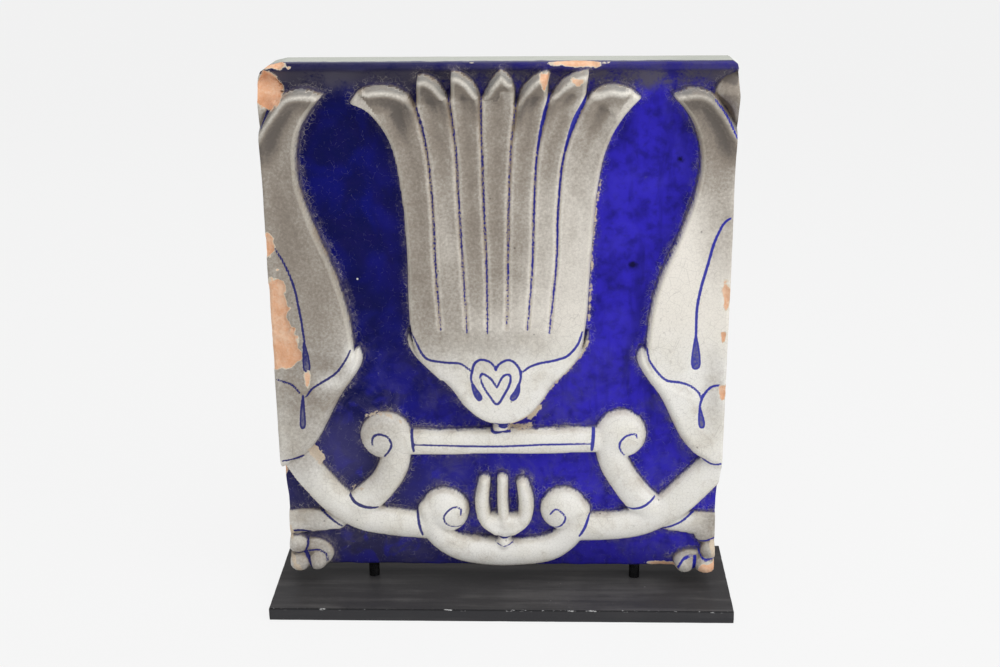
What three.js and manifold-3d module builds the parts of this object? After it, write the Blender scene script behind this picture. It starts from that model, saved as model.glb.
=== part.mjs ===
// A glazed relief tile with a lotus frieze, held up by two round rods on a black base plate.
// Millimetres, +Z up. The origin is on the underside of the base plate, at its middle, and the
// carved face of the tile looks towards -Y.
import * as THREE from "three";
import { mergeVertices } from "three/addons/utils/BufferGeometryUtils.js";
import Module from "manifold-3d";

const wasm = await Module();
wasm.setup();

// Stand
const BASE_WIDTH = 424;
const BASE_DEPTH = 127;
const BASE_THICKNESS = 12;
const BASE_ARRIS = 0.8;
const ROD_DIAMETER = 10;
const ROD_SPACING = 247;
const ROD_SHIFT = 1.5;
const ROD_SEAT = 8;
const ROD_REACH = 45;
const STANDOFF = 18;
const FIT_GAP = 0.3;

// Tile slab
const TILE_WIDTH = 400;
const TILE_HEIGHT = 472;
const SLAB_THICKNESS = 25.5;
const SLAB_SETBACK = 2.5;
const LIP_REACH = 11;
const LIP_FACE = 6;
const COVE_HEIGHT = 34;
const BOTTOM_EDGE_RADIUS = 2;

// Relief, as heights over the blue ground of the slab
const PETAL_FOOT_HEIGHT = 16.5;
const PETAL_BODY_HEIGHT = 19.5;
const PETAL_CURL = 6;
const PETAL_SCOOP = 3.5;
const PETAL_TIP_DROP = 12;
const OUTER_TIP_DROP = 4;
const PETAL_GROOVE = 3.5;
const PETAL_LAP = 0.4;
const RIM_DROP = 10;
const CORNER_PETAL_HEIGHT = 35;
const CALYX_HEIGHT = 17.5;
const CALYX_ROUNDING = 6;
const SCROLL_HEIGHT = 14;
const VOLUTE_HEIGHT = 16;
const BAR_HEIGHT = 13;
const RIBBON_HEIGHT = 13;
const BUD_HEIGHT = 15;
const LEG_HEIGHT = 7;
const SINK = 2;
const ROUNDNESS = 0.55;

// Clearance that cutting bodies run past what they cut
const OVERCUT = 1;

// Points of the ornament are shares of the tile: hundredths of its width from the middle, and
// hundredths of its height from the bottom.
const ACROSS = TILE_WIDTH / 100;
const UP = TILE_HEIGHT / 100;
const TILE_BOTTOM = BASE_THICKNESS + STANDOFF;
const GROUND_Y = SLAB_SETBACK - SLAB_THICKNESS / 2;
const BACK_Y = GROUND_Y + SLAB_THICKNESS;

const drawn = ([x, z]) => new THREE.Vector2(x * ACROSS, TILE_BOTTOM + z * UP);
const raised = (point, height) => new THREE.Vector3(point.x, GROUND_Y - height, point.y);
const smooth = THREE.MathUtils.smoothstep;
const blend = THREE.MathUtils.lerp;

// A closed three.js geometry as a solid for joining and cutting.
function solidOf(geometry) {
  const bare = geometry.clone();
  bare.deleteAttribute("normal");
  bare.deleteAttribute("uv");
  const merged = mergeVertices(bare, 1e-4);
  const solid = new wasm.Manifold(
    new wasm.Mesh({
      numProp: 3,
      vertProperties: merged.attributes.position.array,
      triVerts: new Uint32Array(merged.index.array),
    }),
  );
  return solid.volume() < 0 ? solidOf(turnedOut(merged)) : solid;
}

// The same faces wound the other way round.
function turnedOut(geometry) {
  const order = Array.from(geometry.index.array);
  for (let i = 0; i < order.length; i += 3) {
    [order[i + 1], order[i + 2]] = [order[i + 2], order[i + 1]];
  }
  return geometry.clone().setIndex(order);
}

// A solid back as a three.js geometry.
function geometryOf(solid) {
  const { vertProperties, triVerts } = solid.getMesh();
  const geometry = new THREE.BufferGeometry();
  geometry.setAttribute("position", new THREE.BufferAttribute(vertProperties, 3));
  geometry.setIndex(new THREE.BufferAttribute(triVerts, 1));
  geometry.computeVertexNormals();
  return geometry;
}

// Skin over rings of equally many points, closed at each end by the given cap triangles, or else
// by a fan.
function loft(rings, cap) {
  const count = rings[0].length;
  const positions = rings.flat().flatMap((p) => [p.x, p.y, p.z]);
  const faces = [];
  for (let r = 0; r + 1 < rings.length; r += 1) {
    for (let k = 0; k < count; k += 1) {
      const next = (k + 1) % count;
      const a = r * count + k;
      const b = r * count + next;
      faces.push(a, b, b + count, a, b + count, a + count);
    }
  }
  const fan = Array.from({ length: count - 2 }, (_, k) => [0, k + 1, k + 2]);
  const last = (rings.length - 1) * count;
  for (const [a, b, c] of cap ?? fan) {
    faces.push(a, c, b, last + a, last + b, last + c);
  }
  const geometry = new THREE.BufferGeometry();
  geometry.setAttribute("position", new THREE.Float32BufferAttribute(positions, 3));
  geometry.setIndex(faces);
  return solidOf(geometry);
}

const curveThrough = (points) => new THREE.SplineCurve(points.map(drawn));

// A ridge along a path: a flattened arch in section, on a foot sunk in the slab. Its widths are
// half widths in hundredths of the tile's width, one for each point of the path, and a round end
// shrinks to nothing over the ridge's own half width.
function ridge(points, widths, height, { steps = 14, sides = 6, roundEnd = false } = {}) {
  const path = curveThrough(points);
  const length = path.getLength();
  const stations = Array.from({ length: steps + 1 }, (_, i) => [i / steps, 1]);
  if (roundEnd) {
    const tip = (widths.at(-1) * ACROSS) / length;
    stations.pop();
    for (const angle of [0, 0.3, 0.6, 0.85]) {
      const turn = (angle * Math.PI) / 2;
      stations.push([1 - tip * (1 - Math.sin(turn)), Math.cos(turn)]);
    }
    stations.sort((a, b) => a[0] - b[0]);
  }
  const rings = stations.map(([t, scale]) => {
    const centre = path.getPointAt(t);
    const along = path.getTangentAt(t);
    const side = new THREE.Vector2(along.y, -along.x);
    const place = t * (widths.length - 1);
    const before = Math.min(Math.floor(place), widths.length - 2);
    const half = blend(widths[before], widths[before + 1], place - before) * ACROSS * scale;
    const ring = [raised(centre.clone().addScaledVector(side, -half), -SINK)];
    for (let k = 0; k <= sides; k += 1) {
      const angle = (Math.PI * k) / sides;
      const reach = -half * Math.cos(angle);
      const forward = height * scale * Math.sin(angle) ** ROUNDNESS;
      ring.push(raised(centre.clone().addScaledVector(side, reach), forward));
    }
    ring.push(raised(centre.clone().addScaledVector(side, half), -SINK));
    return ring;
  });
  return loft(rings);
}

// A rounded boss on an ellipse, sunk in the slab. The radii are hundredths of the tile's width.
function boss(centre, radiusAcross, radiusUp, height, sides = 18) {
  const middle = drawn(centre);
  const rings = [[1, -SINK]];
  for (const angle of [0, 25, 50, 72, 88]) {
    const turn = THREE.MathUtils.degToRad(angle);
    rings.push([Math.cos(turn), height * Math.sin(turn) ** ROUNDNESS]);
  }
  return loft(
    rings.map(([scale, forward]) =>
      Array.from({ length: sides }, (_, k) => {
        const angle = (2 * Math.PI * k) / sides;
        const x = middle.x + radiusAcross * ACROSS * scale * Math.cos(angle);
        const z = middle.y + radiusUp * ACROSS * scale * Math.sin(angle);
        return new THREE.Vector3(x, GROUND_Y - forward, z);
      }),
    ),
  );
}

// Share of the room inside its outline that a panel's shoulders may take.
const PANEL_ROOM = 0.8;

// A flat-faced panel inside a closed outline, with rounded shoulders. Each point of the outline
// moves in by no more than its share of the largest circle that fits inside the outline there.
function panel(outline, height, rounding, steps) {
  const closed = new THREE.SplineCurve([...outline, outline[0]].map(drawn));
  const edge = closed.getSpacedPoints(steps).slice(0, -1);
  if (THREE.ShapeUtils.isClockWise(edge)) {
    edge.reverse();
  }
  const inward = edge.map((_, i) => {
    const along = edge[(i + 1) % steps].clone().sub(edge[(i + steps - 1) % steps]).normalize();
    return new THREE.Vector2(-along.y, along.x);
  });
  const room = edge.map((point, i) => {
    const circles = edge.map((other) => {
      const toOther = other.clone().sub(point);
      const ahead = toOther.dot(inward[i]);
      return ahead > 0 ? toOther.lengthSq() / (2 * ahead) : Infinity;
    });
    return PANEL_ROOM * Math.min(...circles);
  });
  const ringAt = (inset, forward) =>
    edge.map((point, i) => {
      const moved = point.clone().addScaledVector(inward[i], Math.min(inset, room[i]));
      return raised(moved, forward);
    });
  const shoulders = [0, 30, 60, 90].map((angle) => {
    const turn = THREE.MathUtils.degToRad(angle);
    return ringAt(rounding * (1 - Math.cos(turn)), height - rounding * (1 - Math.sin(turn)));
  });
  return loft([ringAt(0, -SINK), ...shoulders], THREE.ShapeUtils.triangulateShape(edge, []));
}

// Stations along a petal, as shares of its length, closer together where the tip curls, and across
// it, from -1 at its left line to 1 at its right one.
const PETAL_STATIONS = [0, 0.12, 0.25, 0.38, 0.5, 0.6, 0.68, 0.76, 0.82, 0.87, 0.91, 0.94, 0.965, 0.985];
const PETAL_COLUMNS = [-1, -0.82, -0.42, 0, 0.42, 0.82, 1];

// Where along a petal its forms set in, as shares of its length: from, to.
const BODY_RISE = [0, 0.5];
const SCOOP_RISE = [0.2, 0.7];
const GROOVE_RISE = [0.06, 0.3];
const RIM_RISE = [0.6, 0.95];
const CURL_RISE = [0.78, 0.93];
const TIP_FALL = [0.94, 1];

// Share of a petal's half width that its falling rim takes, below and at the tip, and that its
// groove takes.
const RIM_SHARE_LOW = 0.12;
const RIM_SHARE_TIP = 0.62;
const GROOVE_SHARE = 0.2;

// Height of a petal's face over the slab: it rises from its foot, is scooped between its edges,
// drops into the groove that parts it from the next petal, curls forward near the tip, and falls
// away over the rim on the side that it leans from.
// s runs from -1 to 1 across the petal and t from 0 at its foot to 1 at its tip.
function petalFace(s, t, lean, tipDrop) {
  const body = blend(PETAL_FOOT_HEIGHT, PETAL_BODY_HEIGHT, smooth(t, ...BODY_RISE));
  const curl = PETAL_CURL * smooth(t, ...CURL_RISE);
  const scoop = PETAL_SCOOP * smooth(t, ...SCOOP_RISE) * (1 - s * s);
  const band = blend(RIM_SHARE_LOW, RIM_SHARE_TIP, smooth(t, ...RIM_RISE));
  const rim = lean === 0 ? Math.abs(s) : s * lean;
  const fall = RIM_DROP * smooth(t, ...RIM_RISE) * smooth(rim, 1 - band, 1);
  const groove = PETAL_GROOVE * smooth(t, ...GROOVE_RISE) * smooth(Math.abs(s), 1 - GROOVE_SHARE, 1);
  const tip = tipDrop * smooth(t, ...TIP_FALL);
  return body + curl - scoop - fall - groove - tip;
}

// A petal between its two edge lines, which both run from its foot to its tip. It laps a little
// over each line, so that petals side by side grow together under the groove.
function petal(left, right, lean, tipDrop = PETAL_TIP_DROP) {
  const leftEdge = curveThrough(left);
  const rightEdge = curveThrough(right);
  return loft(
    PETAL_STATIONS.map((t) => {
      const a = leftEdge.getPointAt(t);
      const b = rightEdge.getPointAt(t);
      a.x -= PETAL_LAP;
      b.x += PETAL_LAP;
      const face = PETAL_COLUMNS.map((s) => {
        const point = a.clone().lerp(b, (s + 1) / 2);
        return raised(point, petalFace(s, t, lean, tipDrop));
      });
      return [raised(a, -SINK), ...face, raised(b, -SINK)];
    }),
  );
}

// Lines between the petals of the middle lotus, from their feet to where the tips part.
const OUTER_LEFT = [
  [-13.8, 40.5], [-18.2, 45], [-19.9, 52], [-20, 63], [-20.2, 71.4], [-21, 77.8], [-22, 83.1], [-23.8, 87.4],
  [-27, 91.4], [-31, 92.9],
];
const PETAL_LINES = [
  [[-10.2, 40], [-12.5, 45], [-12.8, 50.5], [-13.6, 63.2], [-13.8, 73.9], [-14.8, 84.5], [-17.1, 93]],
  [[-5.8, 40], [-6.8, 45], [-7, 50.5], [-7.7, 63.2], [-8.2, 73.9], [-8.7, 84.5], [-9.9, 94]],
  [[-2.1, 40], [-2.4, 45], [-2.5, 50.5], [-2.5, 63.2], [-2.9, 73.9], [-3.2, 84.5], [-3.3, 94]],
  [[1.4, 40], [1.6, 45], [1.7, 50.5], [2.1, 63.2], [2.4, 73.9], [2.9, 84.5], [4, 93]],
  [[5.1, 40], [6, 45], [6.2, 50.5], [7.4, 63.2], [7.7, 73.9], [8.5, 84.5], [11, 94]],
  [[9, 40], [10.7, 45], [11, 50.5], [12.5, 63.2], [12.9, 73.9], [14.3, 84.5], [18.8, 94]],
];
const OUTER_RIGHT = [
  [13.4, 40.5], [17.8, 45], [19.3, 52], [20.1, 63], [20.8, 71.4], [21.6, 77.8], [22.8, 83.1], [24.6, 87.4],
  [27.1, 90.8], [30.4, 93.8],
];
const LEFT_TIP_TOP = [[-18.3, 94.5], [-21, 95.9], [-25, 96.3], [-28.6, 95.5], [-31, 92.9]];
const RIGHT_TIP_TOP = [[20.2, 95.2], [22.6, 96.1], [25, 96.2], [28, 95.4], [30.4, 93.8]];

// The inner petals: their tips, the points of the rounded shoulders on the way there, and the side
// that each leans from.
const INNER_PETALS = [
  { tip: [-16.7, 98], left: [], right: [[-10.7, 95.3], [-12.2, 97], [-14.5, 98.1]], lean: 1 },
  { tip: [-9.6, 98.8], left: [], right: [[-3.8, 95.3], [-5, 97], [-7.3, 98.5]], lean: 1 },
  { tip: [0.8, 99.1], left: [[-2.4, 95.4], [-1.2, 97.3]], right: [[3.9, 95.7], [2.8, 97.8]], lean: 0 },
  { tip: [10.8, 98.9], left: [[5, 95.4], [6.6, 97.1], [8.7, 98.4]], right: [], lean: -1 },
  { tip: [19.4, 99.1], left: [[11.9, 95.3], [13.6, 97.2], [16.4, 98.6]], right: [], lean: -1 },
];

function middleLotus() {
  const outerLeft = petal(OUTER_LEFT, [...PETAL_LINES[0], ...LEFT_TIP_TOP], 1, OUTER_TIP_DROP);
  const outerRight = petal([...PETAL_LINES[5], ...RIGHT_TIP_TOP], OUTER_RIGHT, -1, OUTER_TIP_DROP);
  const inner = INNER_PETALS.map(({ tip, left, right, lean }, i) => {
    return petal([...PETAL_LINES[i], ...left, tip], [...PETAL_LINES[i + 1], ...right, tip], lean);
  });
  return [outerLeft, ...inner, outerRight];
}

// The cup under the middle lotus, its two sepal points at the petals' feet.
const CALYX = [
  [-20.2, 50.2], [-20.5, 47.6], [-19, 45], [-16.7, 42.8], [-13.2, 40.2], [-10.7, 37.9], [-8.4, 34.9],
  [-5.1, 32.3], [-1.6, 31], [2, 30.9], [5.6, 32], [8.4, 34.2], [10.6, 37], [12.6, 39.9], [16, 43],
  [18.7, 45.6], [19.8, 48], [19.5, 50.2], [17.4, 45.9], [8, 44], [0, 43.4], [-8, 43.8], [-15.5, 44.6],
  [-18.2, 46.8],
];

// One of the two lotuses that the tile's sides cut through. The points are drawn for the right
// one; a side of -1 mirrors them.
const SIDE_OUTER = [
  [36.4, 37], [32.5, 43.4], [32.2, 47.6], [33.2, 54.7], [35.6, 62], [39.2, 69.7], [42.1, 77.8], [42.4, 84.2],
  [40.1, 90.2], [36, 94.5],
];
const SIDE_INNER = [
  [51, 29], [51, 50], [51, 62], [51, 72], [51, 80], [50, 87], [47.6, 92], [44.4, 95], [40.2, 95.7],
  [36, 94.5],
];
const SIDE_CALYX = [
  [31, 46.8], [30.2, 44.6], [31.6, 41.6], [35.6, 36.8], [38.4, 32], [41.2, 27.6], [45.3, 24.2], [51.5, 22.6],
  [51.5, 43], [44.6, 39], [38.6, 40.6], [34.2, 43.2], [32.2, 46.4],
];
const CORNER_PETAL_OUTER = [[51.5, 84], [50.6, 86.5], [48, 91.4], [45, 94.4], [46.6, 97], [49.8, 98.3]];
const CORNER_PETAL_INNER = [[53, 84], [53, 87], [53, 91], [53, 94], [53, 97], [52.6, 98.3]];

function sideLotus(side) {
  const mirrored = (points) => points.map(([x, z]) => [x * side, z]);
  const outer = mirrored(SIDE_OUTER);
  const inner = mirrored(SIDE_INNER);
  const edges = side > 0 ? [outer, inner] : [inner, outer];
  const cup = panel(mirrored(SIDE_CALYX), CALYX_HEIGHT, CALYX_ROUNDING, 30);
  return [petal(...edges, side, OUTER_TIP_DROP), cup];
}

// The next petal of a side lotus, whose curled tip stands forward at the tile's corner. Its crest
// swells from the body's height to its reach, and its tip falls back over the last fifth. Its outer
// half slopes down to the share CORNER_EDGE of the crest.
const CORNER_STATIONS = [0, 0.2, 0.4, 0.55, 0.7, 0.85, 0.99];
const CORNER_TIP_FALL = [0.8, 1];
const CORNER_TIP_SHARE = 0.55;
const CORNER_EDGE = 0.5;
const CORNER_SHOULDER = 0.85;
const CORNER_SHOULDER_PLACE = 0.25;
const CORNER_SWELL_RATE = 1.1;
const CORNER_SWELL_POWER = 0.8;

function cornerPetal(side, reach) {
  const mirrored = (points) => points.map(([x, z]) => drawn([x * side, z]));
  const outer = new THREE.SplineCurve(mirrored(CORNER_PETAL_OUTER));
  const inner = new THREE.SplineCurve(mirrored(CORNER_PETAL_INNER));
  return loft(
    CORNER_STATIONS.map((t) => {
      const a = outer.getPointAt(t);
      const b = inner.getPointAt(t);
      const swell = Math.sin(Math.PI * Math.min(t * CORNER_SWELL_RATE, 1)) ** CORNER_SWELL_POWER;
      const crest = blend(PETAL_BODY_HEIGHT, reach, swell);
      const fall = crest * CORNER_TIP_SHARE * smooth(t, ...CORNER_TIP_FALL);
      return [
        raised(a, -SINK),
        raised(a, (crest - fall) * CORNER_EDGE),
        raised(a.clone().lerp(b, CORNER_SHOULDER_PLACE), crest * CORNER_SHOULDER - fall),
        raised(b, crest - fall),
        raised(b, -SINK),
      ];
    }),
  );
}

// The bar with the knot that ties the lotus to it, and the two scrolls that stand on the ribbons and
// carry it.
const BAR = [[-21, 27], [0, 27.3], [21.4, 27.7]];
const BAR_WIDTHS = [3.2, 3.15, 3.1];
const KNOT = { centre: [0.1, 30.4], across: 2.2, up: 1.3, height: 14 };
const VOLUTES = [
  { centre: [-26.1, 29.7], radius: 5.7 },
  { centre: [27.1, 30.1], radius: 5.5 },
  { centre: [-13.3, 13.3], radius: 5.8 },
  { centre: [14.6, 13.8], radius: 5.7 },
];
const LEFT_STEM = [[-24.2, 30.8], [-23.8, 26.8], [-24.3, 23.1], [-26.2, 19.9], [-29.2, 16.9], [-32.7, 14.4]];
const RIGHT_STEM = [[25, 30.8], [24.9, 26.8], [26, 22.9], [28.2, 19.7], [31.1, 16.5], [34, 14]];
const STEM_WIDTHS = [3.4, 3.5, 3.6, 3.6, 3.7, 3.8];

// The ribbons that sweep in from the tile's sides to the double scroll at the bottom.
const LEFT_RIBBON = [
  [-50.5, 29.6], [-47.3, 25.9], [-43.4, 20.7], [-37.8, 15.2], [-32.3, 12.2], [-27, 10.9], [-17.5, 10],
];
const RIGHT_RIBBON = [
  [51, 25], [48.6, 22.9], [44.8, 19.4], [39.2, 14.6], [33.9, 11.9], [27.6, 10.3], [17.5, 9.6],
];
const RIBBON_WIDTHS = [3.8, 3.9, 3.9, 3.7, 3.6, 3.5, 3.4];
const LOWER_SCROLL = [
  [-17, 13.4], [-16, 9.6], [-13.4, 6.6], [-8.4, 4.4], [0.7, 3.4], [9.6, 4.2], [14.4, 6.6], [17.2, 9.8],
  [18.2, 13.6],
];
const LOWER_WIDTHS = [2.7, 3.1, 3.4, 3.6, 3.6, 3.6, 3.4, 3.1, 2.7];

// The bud between the lower volutes: a cup with three fingers, on a small collar.
const BUD_CUP = [
  [-5.2, 13.6], [-4.9, 11.6], [-3.7, 9.7], [-1.6, 8.1], [0.7, 7.5], [3.2, 8], [5.4, 9.6], [6.6, 11.7],
  [6.9, 13.6], [4.4, 13], [0.8, 12.8], [-2.8, 13],
];
const BUD_FINGERS = [
  { path: [[-1.2, 9.4], [-3.5, 11.4], [-4.3, 15], [-3.8, 21.3]], widths: [1.5, 1.8, 1.8, 1.5] },
  { path: [[0.6, 11], [0.5, 15], [0.3, 21.6]], widths: [1.5, 1.4, 1.4] },
  { path: [[2.6, 9.4], [5, 11.4], [5.8, 15], [4.9, 20.8]], widths: [1.5, 1.9, 1.9, 1.6] },
];
const COLLAR = { centre: [0.7, 6.4], radius: 2.2 };

// Legs and paws at the bottom corners: a low back, then three toes.
const LEGS = [
  { path: [[-51, 10.3], [-45.5, 10.7], [-39.6, 11]], widths: [3.1, 3, 2.2] },
  { path: [[51, 10.3], [45.5, 10.7], [39.9, 10.7]], widths: [3.1, 3, 2.2] },
];
const PAWS = [
  { centre: [-44.4, 3.6], across: 5.2, up: 5, height: 8 },
  { centre: [-47.4, 5.8], across: 2.8, up: 2.4, height: 14 },
  { centre: [-47.2, 1.9], across: 2.6, up: 2.7, height: 15 },
  { centre: [-42.9, 2], across: 2.4, up: 2.5, height: 14 },
  { centre: [46.9, 9], across: 3, up: 2.8, height: 9 },
  { centre: [45, 2.8], across: 5.2, up: 4.6, height: 8 },
  { centre: [48.3, 5], across: 2.2, up: 2.5, height: 14 },
  { centre: [47.3, 1.7], across: 2.6, up: 2.5, height: 14 },
  { centre: [42.3, 1.8], across: 2.4, up: 2.5, height: 15 },
];

function ornament() {
  const pieces = [
    ...middleLotus(),
    panel(CALYX, CALYX_HEIGHT, CALYX_ROUNDING - 1, 44),
    ...sideLotus(-1),
    ...sideLotus(1),
    cornerPetal(1, CORNER_PETAL_HEIGHT),
    cornerPetal(-1, PETAL_BODY_HEIGHT),
    ridge(BAR, BAR_WIDTHS, BAR_HEIGHT, { steps: 6 }),
    boss(KNOT.centre, KNOT.across, KNOT.up, KNOT.height, 12),
    ridge(LEFT_STEM, STEM_WIDTHS, SCROLL_HEIGHT),
    ridge(RIGHT_STEM, STEM_WIDTHS, SCROLL_HEIGHT),
    ridge(LEFT_RIBBON, RIBBON_WIDTHS, RIBBON_HEIGHT),
    ridge(RIGHT_RIBBON, RIBBON_WIDTHS, RIBBON_HEIGHT),
    ridge(LOWER_SCROLL, LOWER_WIDTHS, SCROLL_HEIGHT, { steps: 22 }),
    ...VOLUTES.map(({ centre, radius }) => boss(centre, radius, radius, VOLUTE_HEIGHT)),
    panel(BUD_CUP, BUD_HEIGHT - 1, CALYX_ROUNDING - 2, 20),
    ...BUD_FINGERS.map(({ path, widths }) => {
      return ridge(path, widths, BUD_HEIGHT, { steps: 4, roundEnd: true });
    }),
    boss(COLLAR.centre, COLLAR.radius, COLLAR.radius, BUD_HEIGHT, 12),
    ...LEGS.map(({ path, widths }) => ridge(path, widths, LEG_HEIGHT, { steps: 5 })),
    ...PAWS.map(({ centre, across, up, height }) => boss(centre, across, up, height, 14)),
  ];
  return pieces.reduce((whole, piece) => whole.add(piece));
}

// The slab's side profile drawn out across the tile: flat ground, then a cove that leans forward
// to the lip of the top edge.
function slab() {
  const top = TILE_BOTTOM + TILE_HEIGHT;
  const coveFoot = top - LIP_FACE - COVE_HEIGHT;
  const profile = [[BACK_Y, TILE_BOTTOM]];
  for (const angle of [0, 30, 60, 90]) {
    const turn = THREE.MathUtils.degToRad(angle);
    const y = GROUND_Y + BOTTOM_EDGE_RADIUS * (1 - Math.sin(turn));
    profile.push([y, TILE_BOTTOM + BOTTOM_EDGE_RADIUS * (1 - Math.cos(turn))]);
  }
  for (let k = 0; k <= 8; k += 1) {
    const turn = (Math.PI * k) / 16;
    profile.push([GROUND_Y - LIP_REACH * (1 - Math.cos(turn)), coveFoot + COVE_HEIGHT * Math.sin(turn)]);
  }
  profile.push([GROUND_Y - LIP_REACH, top], [BACK_Y, top]);
  const shape = new THREE.Shape(profile.map(([y, z]) => new THREE.Vector2(y, z)));
  const bar = new THREE.ExtrudeGeometry(shape, { depth: TILE_WIDTH + 2 * OVERCUT, bevelEnabled: false });
  bar.applyMatrix4(
    new THREE.Matrix4().makeBasis(
      new THREE.Vector3(0, 1, 0),
      new THREE.Vector3(0, 0, 1),
      new THREE.Vector3(1, 0, 0),
    ),
  );
  bar.translate(-TILE_WIDTH / 2 - OVERCUT, 0, 0);
  return solidOf(bar);
}

// The outline of the whole tile seen from the front: sides drawn in a little below the ribbons,
// the top left corner broken away and the top right one rounded.
const TILE_OUTLINE = [
  [-49.3, 0], [-49.3, 15], [-50, 24], [-50, 97.2], [-49.4, 98.4], [-47.6, 99.5], [-45, 100],
  [49, 100], [49.8, 99.5], [50, 98.6], [50, 24], [49.2, 15], [49.2, 0],
];

function tileOutline() {
  const depth = SLAB_THICKNESS + CORNER_PETAL_HEIGHT + OVERCUT;
  const outline = new THREE.Shape(TILE_OUTLINE.map(drawn));
  const block = new THREE.ExtrudeGeometry(outline, { depth, bevelEnabled: false });
  block.rotateX(Math.PI / 2);
  block.translate(0, BACK_Y, 0);
  return solidOf(block);
}

// Places where the glaze and some of the clay have broken away: a flattened faceted lump is taken
// out at each. Centres and sizes are shares as above, depth is in millimetres.
const CHIPS = [
  { centre: [-48.6, 96.6], across: 3.4, up: 4.6, at: 22, depth: 9 },
  { centre: [-49.4, 50], across: 4.6, up: 11, at: 22, depth: 6 },
  { centre: [-50, 67.5], across: 1.8, up: 3.6, at: 20, depth: 6 },
  { centre: [15.5, 100.4], across: 7, up: 0.9, at: LIP_REACH, depth: 7 },
  { centre: [50.4, 38.6], across: 1.2, up: 2.4, at: 16, depth: 8 },
];

function chip({ centre, across, up, at, depth }) {
  const middle = drawn(centre);
  const lump = new THREE.IcosahedronGeometry(1, 1);
  lump.scale(across * ACROSS, depth, up * UP);
  lump.translate(middle.x, GROUND_Y - at, middle.y);
  return solidOf(lump);
}

function rodCylinder(radius, from, to, x) {
  const rod = new THREE.CylinderGeometry(radius, radius, to - from, 32);
  rod.rotateX(Math.PI / 2);
  rod.translate(x, SLAB_SETBACK, (from + to) / 2);
  return solidOf(rod);
}

const ROD_PLACES = { left_rod: ROD_SHIFT - ROD_SPACING / 2, right_rod: ROD_SHIFT + ROD_SPACING / 2 };
const ROD_FOOT = BASE_THICKNESS - ROD_SEAT;
const ROD_TOP = TILE_BOTTOM + ROD_REACH;

function tileSolid() {
  let tile = slab().add(ornament()).intersect(tileOutline());
  for (const place of CHIPS) {
    tile = tile.subtract(chip(place));
  }
  for (const x of Object.values(ROD_PLACES)) {
    const socket = rodCylinder(ROD_DIAMETER / 2 + FIT_GAP, TILE_BOTTOM - OVERCUT, ROD_TOP + FIT_GAP, x);
    tile = tile.subtract(socket);
  }
  return tile;
}

// The base plate: a board with a fine arris all round its edges, bored for the rods.
function basePlate() {
  const half = [BASE_WIDTH / 2 - BASE_ARRIS, BASE_DEPTH / 2 - BASE_ARRIS];
  const corners = [[-half[0], -half[1]], [half[0], -half[1]], [half[0], half[1]], [-half[0], half[1]]];
  const rectangle = new THREE.Shape(corners.map(([x, y]) => new THREE.Vector2(x, y)));
  const board = new THREE.ExtrudeGeometry(rectangle, {
    depth: BASE_THICKNESS - 2 * BASE_ARRIS,
    bevelThickness: BASE_ARRIS,
    bevelSize: BASE_ARRIS,
    bevelSegments: 1,
  });
  board.translate(0, 0, BASE_ARRIS);
  let plate = solidOf(board);
  for (const x of Object.values(ROD_PLACES)) {
    const hole = rodCylinder(ROD_DIAMETER / 2 + FIT_GAP, ROD_FOOT - FIT_GAP, BASE_THICKNESS + OVERCUT, x);
    plate = plate.subtract(hole);
  }
  return plate;
}

const GLAZE = new THREE.MeshStandardMaterial({ color: 0xbdb9ae, roughness: 0.25, metalness: 0 });
const BLACK_PAINT = new THREE.MeshStandardMaterial({ color: 0x151515, roughness: 0.5, metalness: 0 });
const BLACK_STEEL = new THREE.MeshStandardMaterial({ color: 0x0d0d0e, roughness: 0.4, metalness: 0.3 });

function named(name, solid, material) {
  const mesh = new THREE.Mesh(geometryOf(solid), material);
  mesh.name = name;
  return mesh;
}

const tileOnStand = new THREE.Group();
tileOnStand.add(named("tile", tileSolid(), GLAZE));
tileOnStand.add(named("base_plate", basePlate(), BLACK_PAINT));
for (const [name, x] of Object.entries(ROD_PLACES)) {
  tileOnStand.add(named(name, rodCylinder(ROD_DIAMETER / 2, ROD_FOOT, ROD_TOP, x), BLACK_STEEL));
}

export default tileOnStand;
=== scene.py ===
"""Looks of a glazed relief tile with a lotus frieze, held up by two rods on a black board.

Lengths inside the shape functions are millimetres and become metres when a mesh is made. The tile's
own face is measured with x across it from its middle and w up it from its bottom edge. Points of the
ornament are shares of the tile, as in the solids: hundredths of its width and of its height. Points
of the brushwork are where they stand in the plane through the petals' fronts, seen from the camera.
"""
import math

import bmesh
import bpy
import numpy as np
from mathutils import Matrix, Vector


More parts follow.
